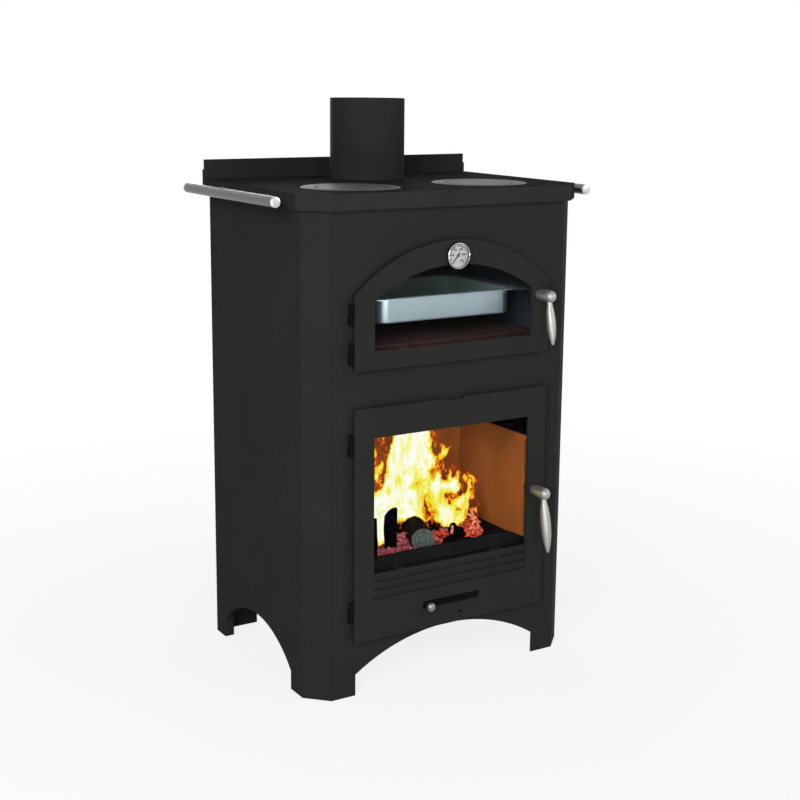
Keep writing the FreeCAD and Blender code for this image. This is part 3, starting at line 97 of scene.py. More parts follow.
class Look:
    """A material being made: one Principled shader and the texture nodes that feed it."""

    def __init__(self, name, **settings):
        self.material = bpy.data.materials.new(name)
        self.material.use_nodes = True
        self.tree = self.material.node_tree
        self.shader = self.tree.nodes["Principled BSDF"]
        for socket, value in settings.items():
            self.shader.inputs[socket.replace("_", " ")].default_value = value
        self.point = self.add("ShaderNodeTexCoord").outputs["Object"]

    def add(self, kind, **settings):
        node = self.tree.nodes.new(kind)
        for name, value in settings.items():
            setattr(node, name, value)
        return node

    def put(self, socket, value):
        put(self.tree, socket, value)

    def feed(self, socket, value):
        self.put(self.shader.inputs[socket], value)

    def stretched(self, scale):
        node = self.add("ShaderNodeMapping")
        self.put(node.inputs["Vector"], self.point)
        node.inputs["Scale"].default_value = scale
        return node.outputs["Vector"]

    def texture(self, node, stretch=None, **values):
        """Lays a texture node on the piece's own coordinates, drawn out along an axis if told."""
        self.put(node.inputs["Vector"], self.stretched(stretch) if stretch else self.point)
        for socket, value in values.items():
            node.inputs[socket].default_value = value
        return node

    def noise(self, scale, detail=2.0, rough=0.5, stretch=None, twist=0.0):
        node = self.add("ShaderNodeTexNoise")
        self.texture(node, stretch, Scale=scale, Detail=detail, Roughness=rough, Distortion=twist)
        return node.outputs["Fac"]

    def cells(self, scale, feature="F1", stretch=None):
        node = self.add("ShaderNodeTexVoronoi", feature=feature)
        return self.texture(node, stretch, Scale=scale).outputs["Distance"]

    def waves(self, scale, twist, **settings):
        node = self.add("ShaderNodeTexWave", **settings)
        return self.texture(node, Scale=scale, Distortion=twist).outputs["Fac"]

    def rings(self, scale, twist):
        return self.waves(scale, twist, wave_type="RINGS", rings_direction="Z")

    def combine(self, first, second, operation="ADD"):
        return combine(self.tree, first, second, operation)

    def mixed(self, first, share, second):
        """The first value by that share and the second by the rest."""
        rest = self.combine(second, 1 - share, "MULTIPLY")
        return self.combine(self.combine(first, share, "MULTIPLY"), rest)

    def span(self, value, low, high, to_low, to_high):
        """The value's range from low to high, carried over to another range."""
        node = self.add("ShaderNodeMapRange")
        for socket, number in zip(node.inputs, (value, low, high, to_low, to_high)):
            self.put(socket, number)
        return node.outputs["Result"]

    def level(self, value, low, high):
        """A number between low and high that follows a noise."""
        return self.span(value, NOISE_LOW, NOISE_HIGH, low, high)

    def ramp(self, value, *stops):
        node = self.add("ShaderNodeValToRGB")
        elements = node.color_ramp.elements
        while len(elements) < len(stops):
            elements.new(0.5)
        for element, (place, colour) in zip(elements, stops):
            element.position = place
            element.color = colour
        self.put(node.inputs["Fac"], value)
        return node.outputs["Color"]

    def shade(self, value, dark, light):
        """A colour between dark and light that follows a noise."""
        return self.ramp(value, (NOISE_LOW, dark), (NOISE_HIGH, light))

    def blend(self, share, first, second):
        node = self.add("ShaderNodeMix", data_type="RGBA")
        self.put(node.inputs["Factor"], share)
        self.put(node.inputs[MIX_FIRST], first)
        self.put(node.inputs[MIX_SECOND], second)
        return node.outputs[MIX_RESULT]

    def upward(self):
        """One on faces that look up, nought on the others."""
        facing = self.add("ShaderNodeSeparateXYZ")
        self.put(facing.inputs[0], self.add("ShaderNodeNewGeometry").outputs["Normal"])
        return self.span(facing.outputs["Z"], TOP_FROM, TOP_FULL, 0.0, 1.0)

    def relief(self, height, depth, under=None):
        """A bump of that depth in mm, on top of another one if given."""
        node = self.add("ShaderNodeBump")
        node.inputs["Strength"].default_value = 1.0
        node.inputs["Distance"].default_value = depth * MM
        self.put(node.inputs["Height"], height)
        if under:
            self.put(node.inputs["Normal"], under)
        return node.outputs["Normal"]


# Finishes

def stove_paint(name, dark, light, rough, grain, shine=0.02, top=None):
    """Matt stove paint: an even coat with a fine grain and slight clouding, with painted shade that makes its
    upward faces darker if told.
    """
    look = Look(name, Specular_IOR_Level=shine)
    cloud = look.noise(7, detail=5, rough=0.6)
    speck = look.noise(grain, detail=2)
    share = look.mixed(cloud, 0.6, speck)
    colour = look.shade(share, dark, light)
    if top:
        # Painted shade: faces that look up take a darker copy of the paint.
        colour = look.blend(look.upward(), colour, look.shade(share, *top))
    look.feed("Base Color", colour)
    look.feed("Roughness", look.level(look.noise(90, detail=3), rough - 0.05, rough + 0.05))
    peel = look.relief(look.noise(grain * 0.35), 0.05)
    look.feed("Normal", look.relief(speck, 0.04, peel))
    return look.material


def metal(name, dark, light, rough, stretch, scale, depth=0.01, bare=1.0):
    """Bare metal with the fine lines of its brushing along one direction."""
    look = Look(name, Metallic=bare)
    lines = look.noise(scale, detail=4, rough=0.65, stretch=stretch)
    cloud = look.noise(22, detail=3)
    look.feed("Base Color", look.shade(lines, dark, light))
    spread = look.mixed(lines, 0.5, cloud)
    look.feed("Roughness", look.level(spread, rough - 0.06, rough + 0.06))
    look.feed("Normal", look.relief(lines, depth))
    return look.material


def ground_iron():
    """Grey iron faced on a lathe: rings about the piece's own centre."""
    look = Look("lid_iron", Metallic=0.75)
    rings = look.rings(160, twist=0.6)
    cloud = look.noise(30, detail=4)
    share = look.mixed(rings, 0.35, cloud)
    look.feed("Base Color", look.shade(share, rgb(61, 61, 61), rgb(78, 78, 77)))
    look.feed("Roughness", look.level(cloud, 0.5, 0.62))
    look.feed("Normal", look.relief(rings, 0.04, look.relief(look.noise(600), 0.03)))
    return look.material


def glass(name, tint):
    look = Look(name, Base_Color=tint, Roughness=0.0, IOR=1.06, Transmission_Weight=1.0)
    look.feed("Normal", look.relief(look.noise(6, detail=1), 0.02))
    return look.material


def refractory(name, dark, mid, light, flake, coarse, dark_tops=False):
    """Pressed brick: a warm body with pale and dark flakes, and near-black upper faces if told."""
    look = Look(name, Specular_IOR_Level=0.1)
    body = look.noise(9, detail=5, rough=0.55)
    flakes = look.cells(flake)
    share = look.combine(body, look.span(flakes, 0.0, 0.6, 0.12 * coarse, -0.1 * coarse))
    colour = look.ramp(share, (0.25, dark), (0.5, mid), (0.8, light))
    if dark_tops:
        # Faces that look up blend towards near black.
        colour = look.blend(look.upward(), colour, look.shade(body, rgb(8, 9, 10), rgb(20, 20, 20)))
    look.feed("Base Color", colour)
    look.feed("Roughness", look.level(body, 0.82, 0.95))
    grit = look.relief(look.noise(220, detail=5, rough=0.7), 0.3 * coarse)
    look.feed("Normal", look.relief(flakes, 0.2 * coarse, grit))
    return look.material


def sooty_iron():
    look = Look("fire_iron", Specular_IOR_Level=0.0)
    soot = look.noise(18, detail=6, rough=0.7)
    greys = ((0.3, rgb(12, 12, 13)), (0.6, rgb(19, 19, 20)), (0.85, rgb(28, 27, 27)))
    look.feed("Base Color", look.ramp(soot, *greys))
    look.feed("Roughness", look.level(soot, 0.72, 0.9))
    look.feed("Normal", look.relief(look.noise(300, detail=4), 0.25))
    return look.material


def enamel(name, dark, light, speck_colour, rough):
    """Fired enamel with pale specks in a dark ground."""
    look = Look(name, Specular_IOR_Level=0.3)
    ground = look.shade(look.noise(10, detail=4), dark, light)
    specks = look.span(look.cells(330), 0.08, 0.16, 1.0, 0.0)
    look.feed("Base Color", look.blend(specks, ground, speck_colour))
    look.feed("Roughness", look.level(look.noise(40), rough - 0.06, rough + 0.06))
    look.feed("Normal", look.relief(look.noise(120), 0.06))
    return look.material


def galvanised():
    """Zinc sheet with its crystal spangle."""
    look = Look("pan_steel", Metallic=1.0)
    spangle = look.texture(look.add("ShaderNodeTexVoronoi"), Scale=90)
    grey = look.ramp(spangle.outputs["Color"], (0.2, rgb(118, 120, 122)), (0.8, rgb(165, 168, 170)))
    look.feed("Base Color", grey)
    look.feed("Roughness", look.level(look.noise(60, detail=4), 0.4, 0.58))
    look.feed("Normal", look.relief(spangle.outputs["Distance"], 0.05))
    return look.material


def braid():
    """Woven glass-fibre rope: uneven slanted strands."""
    look = Look("seal_rope", Specular_IOR_Level=0.2)
    one = look.waves(260, 0.4, bands_direction="DIAGONAL")
    other = look.noise(420, stretch=(1.0, 1.0, -1.0))
    weave = look.mixed(one, 0.7, other)
    look.feed("Base Color", look.ramp(weave, (0.2, rgb(22, 22, 22)), (0.8, rgb(62, 61, 59))))
    look.feed("Roughness", look.span(weave, 0.2, 0.8, 0.95, 0.8))
    look.feed("Normal", look.relief(weave, 0.6))
    return look.material


def dial_face():
    look = Look("dial_white", Specular_IOR_Level=0.4)
    cloud = look.noise(300, detail=3)
    look.feed("Base Color", look.shade(cloud, rgb(128, 128, 127), rgb(142, 142, 140)))
    look.feed("Roughness", look.level(cloud, 0.4, 0.5))
    return look.material


def bark():
    look = Look("bark", Specular_IOR_Level=0.0)
    ridges = look.noise(60, detail=6, rough=0.7, stretch=(1.0, 1.0, 0.25))
    browns = ((0.3, rgb(9, 7, 6)), (0.55, rgb(28, 20, 15)), (0.8, rgb(56, 42, 30)))
    look.feed("Base Color", look.ramp(ridges, *browns))
    look.feed("Roughness", look.level(ridges, 0.95, 0.8))
    look.feed("Normal", look.relief(ridges, 2))
    return look.material


def cut_wood():
    """A sawn end: year rings about the log's own axis, weathered grey-green."""
    look = Look("cut_wood", Specular_IOR_Level=0.2)
    rings = look.rings(38, twist=5.0)
    grain = look.noise(140, detail=5, rough=0.7)
    share = look.mixed(rings, 0.16, grain)
    weathered = ((0.3, rgb(30, 34, 32)), (0.5, rgb(52, 60, 56)), (0.72, rgb(78, 84, 76)))
    look.feed("Base Color", look.ramp(share, *weathered))
    look.feed("Roughness", look.level(grain, 0.75, 0.9))
    look.feed("Normal", look.relief(share, 0.8))
    return look.material


def charcoal():
    """Burnt wood: black, crazed into small blocks."""
    look = Look("charred_wood", Specular_IOR_Level=0.0)
    blocks = look.cells(85, "DISTANCE_TO_EDGE", stretch=(1.0, 1.0, 0.6))
    fine = look.noise(220, detail=5)
    look.feed("Base Color", look.shade(fine, rgb(1, 1, 2), rgb(7, 7, 8)))
    look.feed("Roughness", look.level(fine, 0.7, 0.9))
    look.feed("Normal", look.relief(look.span(blocks, 0.0, 0.12, 0.0, 1.0), 1.5))
    return look.material


def embers(name, scale, dark, dull, bright, hottest):
    """Burning charcoal: glowing patches that fade through dull red to ash."""
    look = Look(name, Specular_IOR_Level=0.1, Roughness=0.9, Emission_Strength=0.9)
    patch = look.noise(scale, detail=6, rough=0.66, twist=0.6)
    cracks = look.cells(scale * 1.6, "DISTANCE_TO_EDGE")
    heat = look.combine(patch, look.span(cracks, 0.0, 0.12, 0.07, 0.0))
    look.feed("Base Color", look.shade(patch, rgb(16, 12, 11), rgb(58, 46, 42)))
    look.feed("Emission Color", look.ramp(heat, (0.4, dark), (0.5, dull), (0.6, bright), (0.72, hottest)))
    look.feed("Normal", look.relief(patch, 3))
    return look.material


def flame():
    """Thin burning gas: white where it is hottest, then yellow, orange and red, and clear at its rim."""
    look = Look("flame", Base_Color=rgb(0, 0, 0), Roughness=1.0, Specular_IOR_Level=0.0,
                Emission_Strength=1.0)
    own = look.add("ShaderNodeAttribute", attribute_name="warmth").outputs["Fac"]
    licks = look.noise(30, detail=6, rough=0.64, stretch=(1.0, 1.0, 0.5), twist=1.6)
    strands = look.noise(46, detail=4, rough=0.6, stretch=(1.0, 1.0, 0.6), twist=1.2)
    vein = look.combine(look.combine(strands, NOISE_MIDDLE, "SUBTRACT"), 0.0, "ABSOLUTE")
    stir = look.combine(look.level(licks, -0.34, 0.34), look.span(vein, 0.0, 0.1, -0.2, 0.05))
    heat = look.combine(own, stir)
    colours = (
        (0.0, rgb(120, 18, 4)), (0.12, rgb(206, 56, 12)), (0.22, rgb(247, 134, 26)),
        (0.34, rgb(243, 212, 34)), (0.52, rgb(240, 236, 66)), (0.76, rgb(252, 250, 172)),
        (0.95, rgb(255, 255, 246)),
    )
    look.feed("Emission Color", look.ramp(heat, *colours))
    look.feed("Alpha", look.span(heat, 0.0, 0.22, 0.0, 1.0))
    return look.material


# Brushing: how far its noise is drawn out along one axis, or along none
ALONG_X = (0.02, 1.0, 1.0)
SHORT_ALONG_X = (0.1, 1.0, 1.0)
ALONG_Y = (1.0, 0.02, 1.0)
ALONG_Z = (1.0, 1.0, 0.06)
EVEN = (1.0, 1.0, 1.0)
LOOKS = {
    "casing_paint": stove_paint("casing_paint", rgb(36, 36, 34), rgb(42, 42, 40), 0.7, 1300),
    # The hob's upward faces take a darker copy of its paint: painted shade on the top.
    "hob_paint": stove_paint("hob_paint", rgb(39, 39, 38), rgb(47, 47, 46), 0.75, 700, 0.003,
                             top=(rgb(31, 31, 31), rgb(39, 39, 39))),
    "flue_paint": stove_paint("flue_paint", rgb(38, 38, 38), rgb(46, 46, 46), 0.6, 1100, 0.01),
    "inner_steel": stove_paint("inner_steel", rgb(14, 14, 14), rgb(22, 22, 21), 0.75, 500, 0.003),
    "lid_iron": ground_iron(),
    "stainless": metal("stainless", rgb(94, 95, 96), rgb(107, 107, 107), 0.36, ALONG_Y, 900),
    "handle_nickel": metal("handle_nickel", rgb(148, 146, 142), rgb(162, 160, 156), 0.42, ALONG_Z, 700,
                           bare=0.75),
    "chrome": metal("chrome", rgb(160, 160, 160), rgb(174, 174, 174), 0.15, EVEN, 300, 0.004),
    "tray_steel": metal("tray_steel", rgb(140, 154, 161), rgb(148, 162, 169), 0.42, ALONG_X, 900, 0.003),
    "plain_steel": metal("plain_steel", rgb(92, 92, 92), rgb(122, 121, 120), 0.42, SHORT_ALONG_X, 500),
    "pan_steel": galvanised(),
    "door_glass": glass("door_glass", (0.97, 0.98, 0.975, 1.0)),
    "lens_glass": glass("lens_glass", (0.99, 0.99, 0.99, 1.0)),
    "firebrick": refractory("firebrick", rgb(112, 60, 23), rgb(126, 70, 28), rgb(138, 79, 34), 180, 0.3,
                            dark_tops=True),
    "hearth_brick": refractory("hearth_brick", rgb(28, 15, 14), rgb(39, 21, 19), rgb(50, 29, 26), 140, 0.6),
    "fire_iron": sooty_iron(),
    "oven_enamel": enamel("oven_enamel", rgb(29, 36, 41), rgb(37, 45, 50), rgb(64, 74, 80), 0.34),
    "seal_rope": braid(),
    "dial_white": dial_face(),
    "needle_black": stove_paint("needle_black", rgb(14, 14, 14), rgb(24, 24, 24), 0.4, 2500, 0.4),
}
# The tray's inside: a darker grey-green copy of its steel, painted shade for the hollow.
TRAY_INSIDE_SHADE = enamel("tray_inside_shade", rgb(91, 106, 107), rgb(100, 115, 115), rgb(109, 122, 122), 0.7)
# The rail caps: a much lighter copy of the rails' stainless, a painted highlight for their bright reflection.
CAP_STEEL_PAINTED_HIGHLIGHT = metal("cap_steel_painted_highlight", rgb(186, 186, 186), rgb(198, 198, 198), 0.3, EVEN, 300)
# The air knob: a darker copy of the chrome, painted shade for its dim reflection.
KNOB_STEEL_PAINTED_SHADE = metal("knob_steel_painted_shade", rgb(113, 113, 111), rgb(126, 126, 123), 0.36, EVEN, 300, 0.004)


# Pieces

# How the CAD meshes are cleaned and their edges broken, in mm and degrees
WELD_REACH = 0.001
FLAT_ANGLE = 0.6
SHARP_ANGLE = 34
EDGE_STEPS = 2
FACE_LEAD = 60
POINT_RADIUS = 0.001


def soften(node, width):
    """Leaves a CAD node where it is, with clean faces, broken edges of that width in mm and its finish."""
    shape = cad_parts[node]
    weld = shape.modifiers.new("weld", "WELD")
    weld.merge_threshold = WELD_REACH * MM
    flat = shape.modifiers.new("flat", "DECIMATE")
    flat.decimate_type = "DISSOLVE"
    flat.angle_limit = math.radians(FLAT_ANGLE)
    edge = shape.modifiers.new("edge", "BEVEL")
    edge.width = width * MM
    edge.segments = EDGE_STEPS
    edge.limit_method = "ANGLE"
    edge.angle_limit = math.radians(SHARP_ANGLE)
    normals = shape.modifiers.new("normals", "WEIGHTED_NORMAL")
    normals.weight = FACE_LEAD
    slot = shape.data.materials[0].name
    shape.material_slots[0].material = LOOKS[slot]


def piece(bm, name, body, slot, nodes=(), looks=None, at=None, along=None, crease=38):
    """Turns a bmesh into an object that rides on a body and stands for CAD nodes."""
    bmesh.ops.recalc_face_normals(bm, faces=bm.faces)
    for face in bm.faces:
        face.smooth = True
    for edge in bm.edges:
        edge.smooth = len(edge.link_faces) != 2 or edge.calc_face_angle() < math.radians(crease)
    mesh = bpy.data.meshes.new(name)
    bm.to_mesh(mesh)
    bm.free()
    shape = bpy.data.objects.new(name, mesh)
    bpy.context.scene.collection.objects.link(shape)
    if at:
        shape.location = at
    if along:
        shape.rotation_mode = "QUATERNION"
        shape.rotation_quaternion = UP.rotation_difference(along)
    for look in looks or [LOOKS[slot]]:
        mesh.materials.append(look)
    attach(shape, body)
    if nodes:
        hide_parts(*nodes)
    return shape


def flowing(points, steps=6):
    """Points along a smooth line that passes through the given ones."""
    path = [Vector(p) for p in points]
    ends = [2 * path[0] - path[1], *path, 2 * path[-1] - path[-2]]
    line = []
    for a, b, c, d in zip(ends, ends[1:], ends[2:], ends[3:]):
        for i in range(steps):
            t = i / steps
            line.append(0.5 * (2 * b + (c - a) * t + (2 * a - 5 * b + 4 * c - d) * t**2
                               + (3 * b - a - 3 * c + d) * t**3))
    return [*line, path[-1]]


def turn(bm, profile, origin, axis, sides=64, closed=False):
    """Adds a turned shape: the profile holds (distance along the axis, radius) pairs in mm."""
    across = axis.orthogonal().normalized()
    other = axis.cross(across)
    rings = []
    for along, radius in profile:
        centre = origin + axis * along * MM
        if radius < POINT_RADIUS:
            rings.append([bm.verts.new(centre)])
            continue
        angles = [2 * math.pi * i / sides for i in range(sides)]
        spokes = [across * math.cos(a) + other * math.sin(a) for a in angles]
        rings.append([bm.verts.new(centre + s * radius * MM) for s in spokes])
    pairs = list(zip(rings, rings[1:]))
    if closed:
        pairs.append((rings[-1], rings[0]))
    for one, two in pairs:
        for i in range(sides):
            j = (i + 1) % sides
            if len(one) == 1:
                bm.faces.new((one[0], two[i], two[j]))
            elif len(two) == 1:
                bm.faces.new((one[i], two[0], one[j]))
            else:
                bm.faces.new((one[i], two[i], two[j], one[j]))
    return bm


def centre_at(low, high, y):
    """The middle of a box in x and z, at that depth."""
    return Vector(((low.x + high.x) / 2, y, (low.z + high.z) / 2))


def smooth_profile(points):
    """The profile of a turned shape that flows through the given (distance, radius) pairs."""
    return [(p.x, p.y) for p in flowing([(along, radius, 0) for along, radius in points])]


def turned(name, profile, origin, axis, body, slot, nodes, **options):
    bm = turn(bmesh.new(), profile, origin, axis, **options)
    return piece(bm, name, body, slot, nodes)


def join_loops(bm, one, two, finish):
    """Faces between two loops with as many points each."""
    for i in range(len(one)):
        j = (i + 1) % len(one)
        bm.faces.new((one[i], one[j], two[j], two[i])).material_index = finish


# Casing, hob and the plain pieces that keep their CAD shape

# The width of the broken edges in mm, and the nodes that have it
EDGE_WIDTHS = {
    0.9: ("front_panel", "left_side_panel", "right_side_panel", "rear_panel", "backsplash", "baffle"),
    1.6: ("hob_plate",),
    0.8: ("oven_door_leaf", "fire_door_leaf", "flue_pipe", "base_plate", "inner_shell", "firebox_back"),
    0.5: ("flue_spigot", "oven_box", "oven_runners", "ash_pan", "log_retainer", "fire_floor", "rail_posts"),
    0.4: ("hinge_brackets", "oven_hinge_knuckles", "fire_hinge_knuckles", "oven_latch_tongue",
          "fire_latch_tongue", "oven_glass_clips", "fire_glass_clips", "air_slide", "air_guides"),
    0.3: ("hinge_pins", "splash_screws", "oven_clip_screws", "fire_clip_screws", "oven_door_glass",
          "fire_door_glass", "thermometer_stem", "thermometer_dial"),
    0.1: ("thermometer_needle",),
    2.5: ("oven_hearth", "left_firebrick", "right_firebrick", "rear_firebrick", "oven_door_seal",
          "fire_door_seal"),
    1.0: ("grate",),
}


def plain_pieces():
    for width, nodes in EDGE_WIDTHS.items():
        for node in nodes:
            soften(node, width)
    for pane in ("oven_door_glass", "fire_door_glass"):
        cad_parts[pane].visible_shadow = False


# Hob lids

LID_RADIUS = 94
LID_GROOVE = 66
LID_GROOVE_HALF = 1.5
LID_GROOVE_DEPTH = 2.5
LID_GROOVE_BREAK = 0.5
# The rounds of the lid's lower and upper rims: their reach, and their cut at the middle
LID_FOOT = 2.0
LID_FOOT_CUT = 0.6
LID_RIM = 1.2
LID_RIM_CUT = 0.35


def lid(side):
    """A turned iron lid with a ring groove and softly broken rims."""
    node = f"{side}_hotplate"
    low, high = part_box(node)
    centre = (low + high) / 2
    top = (high.z - low.z) / MM
    outer = LID_GROOVE + LID_GROOVE_HALF
    inner = LID_GROOVE - LID_GROOVE_HALF
    profile = [
        (0, 0), (0, LID_RADIUS - LID_FOOT),
        (LID_FOOT_CUT, LID_RADIUS - LID_FOOT_CUT), (LID_FOOT, LID_RADIUS),
        (top - LID_RIM, LID_RADIUS), (top - LID_RIM_CUT, LID_RADIUS - LID_RIM_CUT),
        (top, LID_RADIUS - LID_RIM), (top, outer + LID_GROOVE_BREAK),
        (top - LID_GROOVE_BREAK, outer), (top - LID_GROOVE_DEPTH, outer),
        (top - LID_GROOVE_DEPTH, inner), (top - LID_GROOVE_BREAK, inner),
        (top, inner - LID_GROOVE_BREAK), (top, 0),
    ]
    bm = turn(bmesh.new(), profile, Vector(), UP, sides=128)
    piece(bm, f"{side}_lid_turned", f"{side}_lid", "lid_iron", [node], at=Vector((centre.x, centre.y, low.z)))


# Towel rails

RAIL_RADIUS = 10
RAIL_BREAK = 0.5
RAIL_SIDES = 48
# The domed end cap: distance out from the rail's end and radius
CAP_LINE = ((0, 0), (0, 9.4), (0.4, 9.9), (1.3, 9.9), (2.2, 9.3), (2.8, 7.4), (3, 4.5), (3, 0))


def rail(side):
    """A brushed tube with a fine joint before its domed end caps."""
    node = f"{side}_rail"
    low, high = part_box(node)
    front = centre_at(low, high, low.y)
    length = (high.y - low.y) / MM
    end = RAIL_RADIUS - RAIL_BREAK
    profile = [(0, 0), (0, end), (RAIL_BREAK, RAIL_RADIUS),
               (length - RAIL_BREAK, RAIL_RADIUS), (length, end), (length, 0)]
    turned(f"{side}_rail_tube", profile, front, -OUT, "stove", "stainless", [node], sides=RAIL_SIDES)


def rail_caps():
    """Four domed caps, one on each end of the two rails."""
    bm = bmesh.new()
    for side in ("left", "right"):
        low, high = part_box(f"{side}_rail")
        turn(bm, CAP_LINE, centre_at(low, high, low.y), OUT, sides=RAIL_SIDES)
        turn(bm, CAP_LINE, centre_at(low, high, high.y), -OUT, sides=RAIL_SIDES)
    # The caps take the lighter copy of the stainless: painted highlight.
    piece(bm, "rail_end_caps", "stove", "stainless", ["rail_caps"], looks=[CAP_STEEL_PAINTED_HIGHLIGHT])


# Door handles

GRIP_ROOT = -6
# The hub and the grips: distance along the axis and radius, in mm
HUB_LINE = ((25, 9.4), (31, 9.9), (42, 11.2), (52, 11.9), (58, 11.8), (63.5, 10.7), (68, 8.2), (71, 4.4))
GRIP_LINES = {
    "oven": ((GRIP_ROOT, 5.2), (0, 5.3), (2, 5.4), (7, 5.9), (18, 7.6), (32, 8.7), (44, 8.8), (57, 8.0),
             (70, 5.7), (78, 3.3)),
    "fire": ((GRIP_ROOT, 5.2), (0, 5.3), (2, 5.4), (8, 6.2), (22, 8.6), (40, 10.1), (56, 10.3), (72, 9.4),
             (90, 6.6), (101, 3.6)),
}
GRIP_LENGTHS = {"oven": 82, "fire": 106}
GRIP_LEAN = math.radians(10)
GRIP_TOP_Y = -227.4
GRIP_TIP = 2.0
HUB_RADIUS = 12
HUB_BACK = (25, 9.0)
HUB_LENGTH = 72
SHAFT_RADIUS = 5
SHAFT_LENGTH = 24.6


def handle(door):
    """A bullet hub turned on its shaft, and the spindle grip that hangs from it, leaning out."""
    low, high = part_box(f"{door}_handle_hub")
    origin = centre_at(low, high, high.y)
    shaft = [(0, 0), (0, SHAFT_RADIUS), (SHAFT_LENGTH, SHAFT_RADIUS)]
    profile = [*shaft, HUB_BACK, *smooth_profile(HUB_LINE), (HUB_LENGTH, 0)]
    turned(f"{door}_hub_turned", profile, origin, OUT, f"{door}_handle", "handle_nickel",
           [f"{door}_handle_hub"])
    top = Vector((origin.x, GRIP_TOP_Y * MM, origin.z - HUB_RADIUS * MM))
    down = Vector((0, -math.sin(GRIP_LEAN), -math.cos(GRIP_LEAN)))
    length = GRIP_LENGTHS[door]
    profile = [(GRIP_ROOT, 0), *smooth_profile(GRIP_LINES[door]), (length - 1, GRIP_TIP), (length, 0)]
    turned(f"{door}_grip_turned", profile, top, down, f"{door}_handle", "handle_nickel",
           [f"{door}_handle_grip"], sides=48)


# Baking tray

TRAY_SHEET = 1.6
TRAY_CORNER = 24
# The body's rolled lower edge outside and inside: inset from the side and height, in mm
TRAY_OUTSIDE = ((9, 0), (4, 0.6), (1.2, 2.6), (0, 6))
TRAY_HOLLOW = ((TRAY_SHEET, 7), (3, 3.6), (6, 2.2), (10, TRAY_SHEET))
# The hollow's broken upper edge: how far it reaches over and down
HOLLOW_BREAK = (0.3, 0.4)
# The lip: its reach at the sides and ends, corner, broken edge and the bright rim, inside which the painted
# shade of the hollow begins
LIP_REACH = (24, 10)
LIP_CORNER = 34
LIP_BREAK = 0.3
LIP_RIM = (9, 5)
LIP_RIM_CORNER = 30
# Finishes of the tray's faces: its steel, and the painted shade of the inside
BRIGHT = 0
SHADED_INSIDE = 1
CORNER_STEPS = 10


def tray_ring(bm, middle, half_x, half_y, radius, z):
    """One level of the tray: a rectangle with round corners."""
    ring = []
    for start, sx, sy in ((0, 1, 1), (90, -1, 1), (180, -1, -1), (270, 1, -1)):
        for i in range(CORNER_STEPS + 1):
            angle = math.radians(start + 90 * i / CORNER_STEPS)
            x = middle.x + (sx * (half_x - radius) + radius * math.cos(angle)) * MM
            y = middle.y + (sy * (half_y - radius) + radius * math.sin(angle)) * MM
            ring.append(bm.verts.new((x, y, z)))
    return ring


def tray_levels(tall):
    """From the underside round the lip to the hollow: two insets, corner, height and finish above, bright
    steel or the painted shade of the inside.
    """
    side, end = LIP_REACH
    under = tall - TRAY_SHEET
    outside = (*TRAY_OUTSIDE, (0, under))
    inside = ((TRAY_SHEET - HOLLOW_BREAK[0], tall), (TRAY_SHEET, tall - HOLLOW_BREAK[1]), *TRAY_HOLLOW)
    return (
        *((inset, inset, TRAY_CORNER - inset, up, BRIGHT) for inset, up in outside),
        (-side, -end, LIP_CORNER, under, BRIGHT),
        (-side, -end, LIP_CORNER, tall - LIP_BREAK, BRIGHT),
        (LIP_BREAK - side, LIP_BREAK - end, LIP_CORNER - LIP_BREAK, tall, BRIGHT),
        (LIP_RIM[0] - side, LIP_RIM[1] - end, LIP_RIM_CORNER, tall, SHADED_INSIDE),
        *((inset, inset, TRAY_CORNER - inset, up, SHADED_INSIDE) for inset, up in inside),
    )


def baking_tray():
    """A pressed tray with rolled lower edges and a flat lip, bright steel outside and a darker grey-green
    inside that paints the shade in its hollow.
    """
    low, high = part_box("oven_tray")
    middle = (low + high) / 2
    body_x = (high.x - low.x) / 2 / MM - LIP_REACH[0]
    body_y = (high.y - low.y) / 2 / MM - LIP_REACH[1]
    levels = tray_levels((high.z - low.z) / MM)
    bm = bmesh.new()
    rings = []
    for inset_x, inset_y, radius, up, _ in levels:
        rings.append(tray_ring(bm, middle, body_x - inset_x, body_y - inset_y, radius, low.z + up * MM))
    for one, two, level in zip(rings, rings[1:], levels):
        join_loops(bm, one, two, level[-1])
    bm.faces.new(rings[0])
    bm.faces.new(rings[-1]).material_index = SHADED_INSIDE
    piece(bm, "pressed_tray", "baking_tray", "tray_steel", ["oven_tray"],
          looks=[LOOKS["tray_steel"], TRAY_INSIDE_SHADE], crease=30)


# Oven thermometer

DIAL_CENTRE = mm(0, 0, 827)
DIAL_FACE = -197.3
# The bezel: distance from the back for its foot, and from the front for the rest, and radius
BEZEL_FOOT = ((0, 21.2), (0, 24.2), (0.8, 25))
BEZEL_FRONT = ((-3.2, 25), (-1.4, 24.6), (-0.3, 23.8), (0, 22.9), (-0.4, 22.1), (-1.6, 21.6), (-2.4, 21.2))
# The lens: distance from its seat, which lies behind the front, and radius
LENS_LINE = ((0, 0), (0, 21.6), (0.4, 21.7), (0.8, 20), (1.3, 15), (1.65, 8), (1.75, 0))
LENS_SEAT = 2.6
MARK_PROUD = 0.12
MARK_SUNK = 0.02
SCALE_FIRST = math.radians(230)
SCALE_LAST = math.radians(-50)
TICKS = 41
LONG_EVERY = 4
# Where a tick begins from the dial's centre, and half its width
LONG_TICK = (16.0, 0.7)
SHORT_TICK = (17.6, 0.32)
TICK_END = 19.6
NUMBERS = ("0", "100", "200", "300", "400", "500")
NUMBER_RADIUS = 12.6
NUMBER_SIZE = 5.6
NUMBER_WEIGHT = 0.12


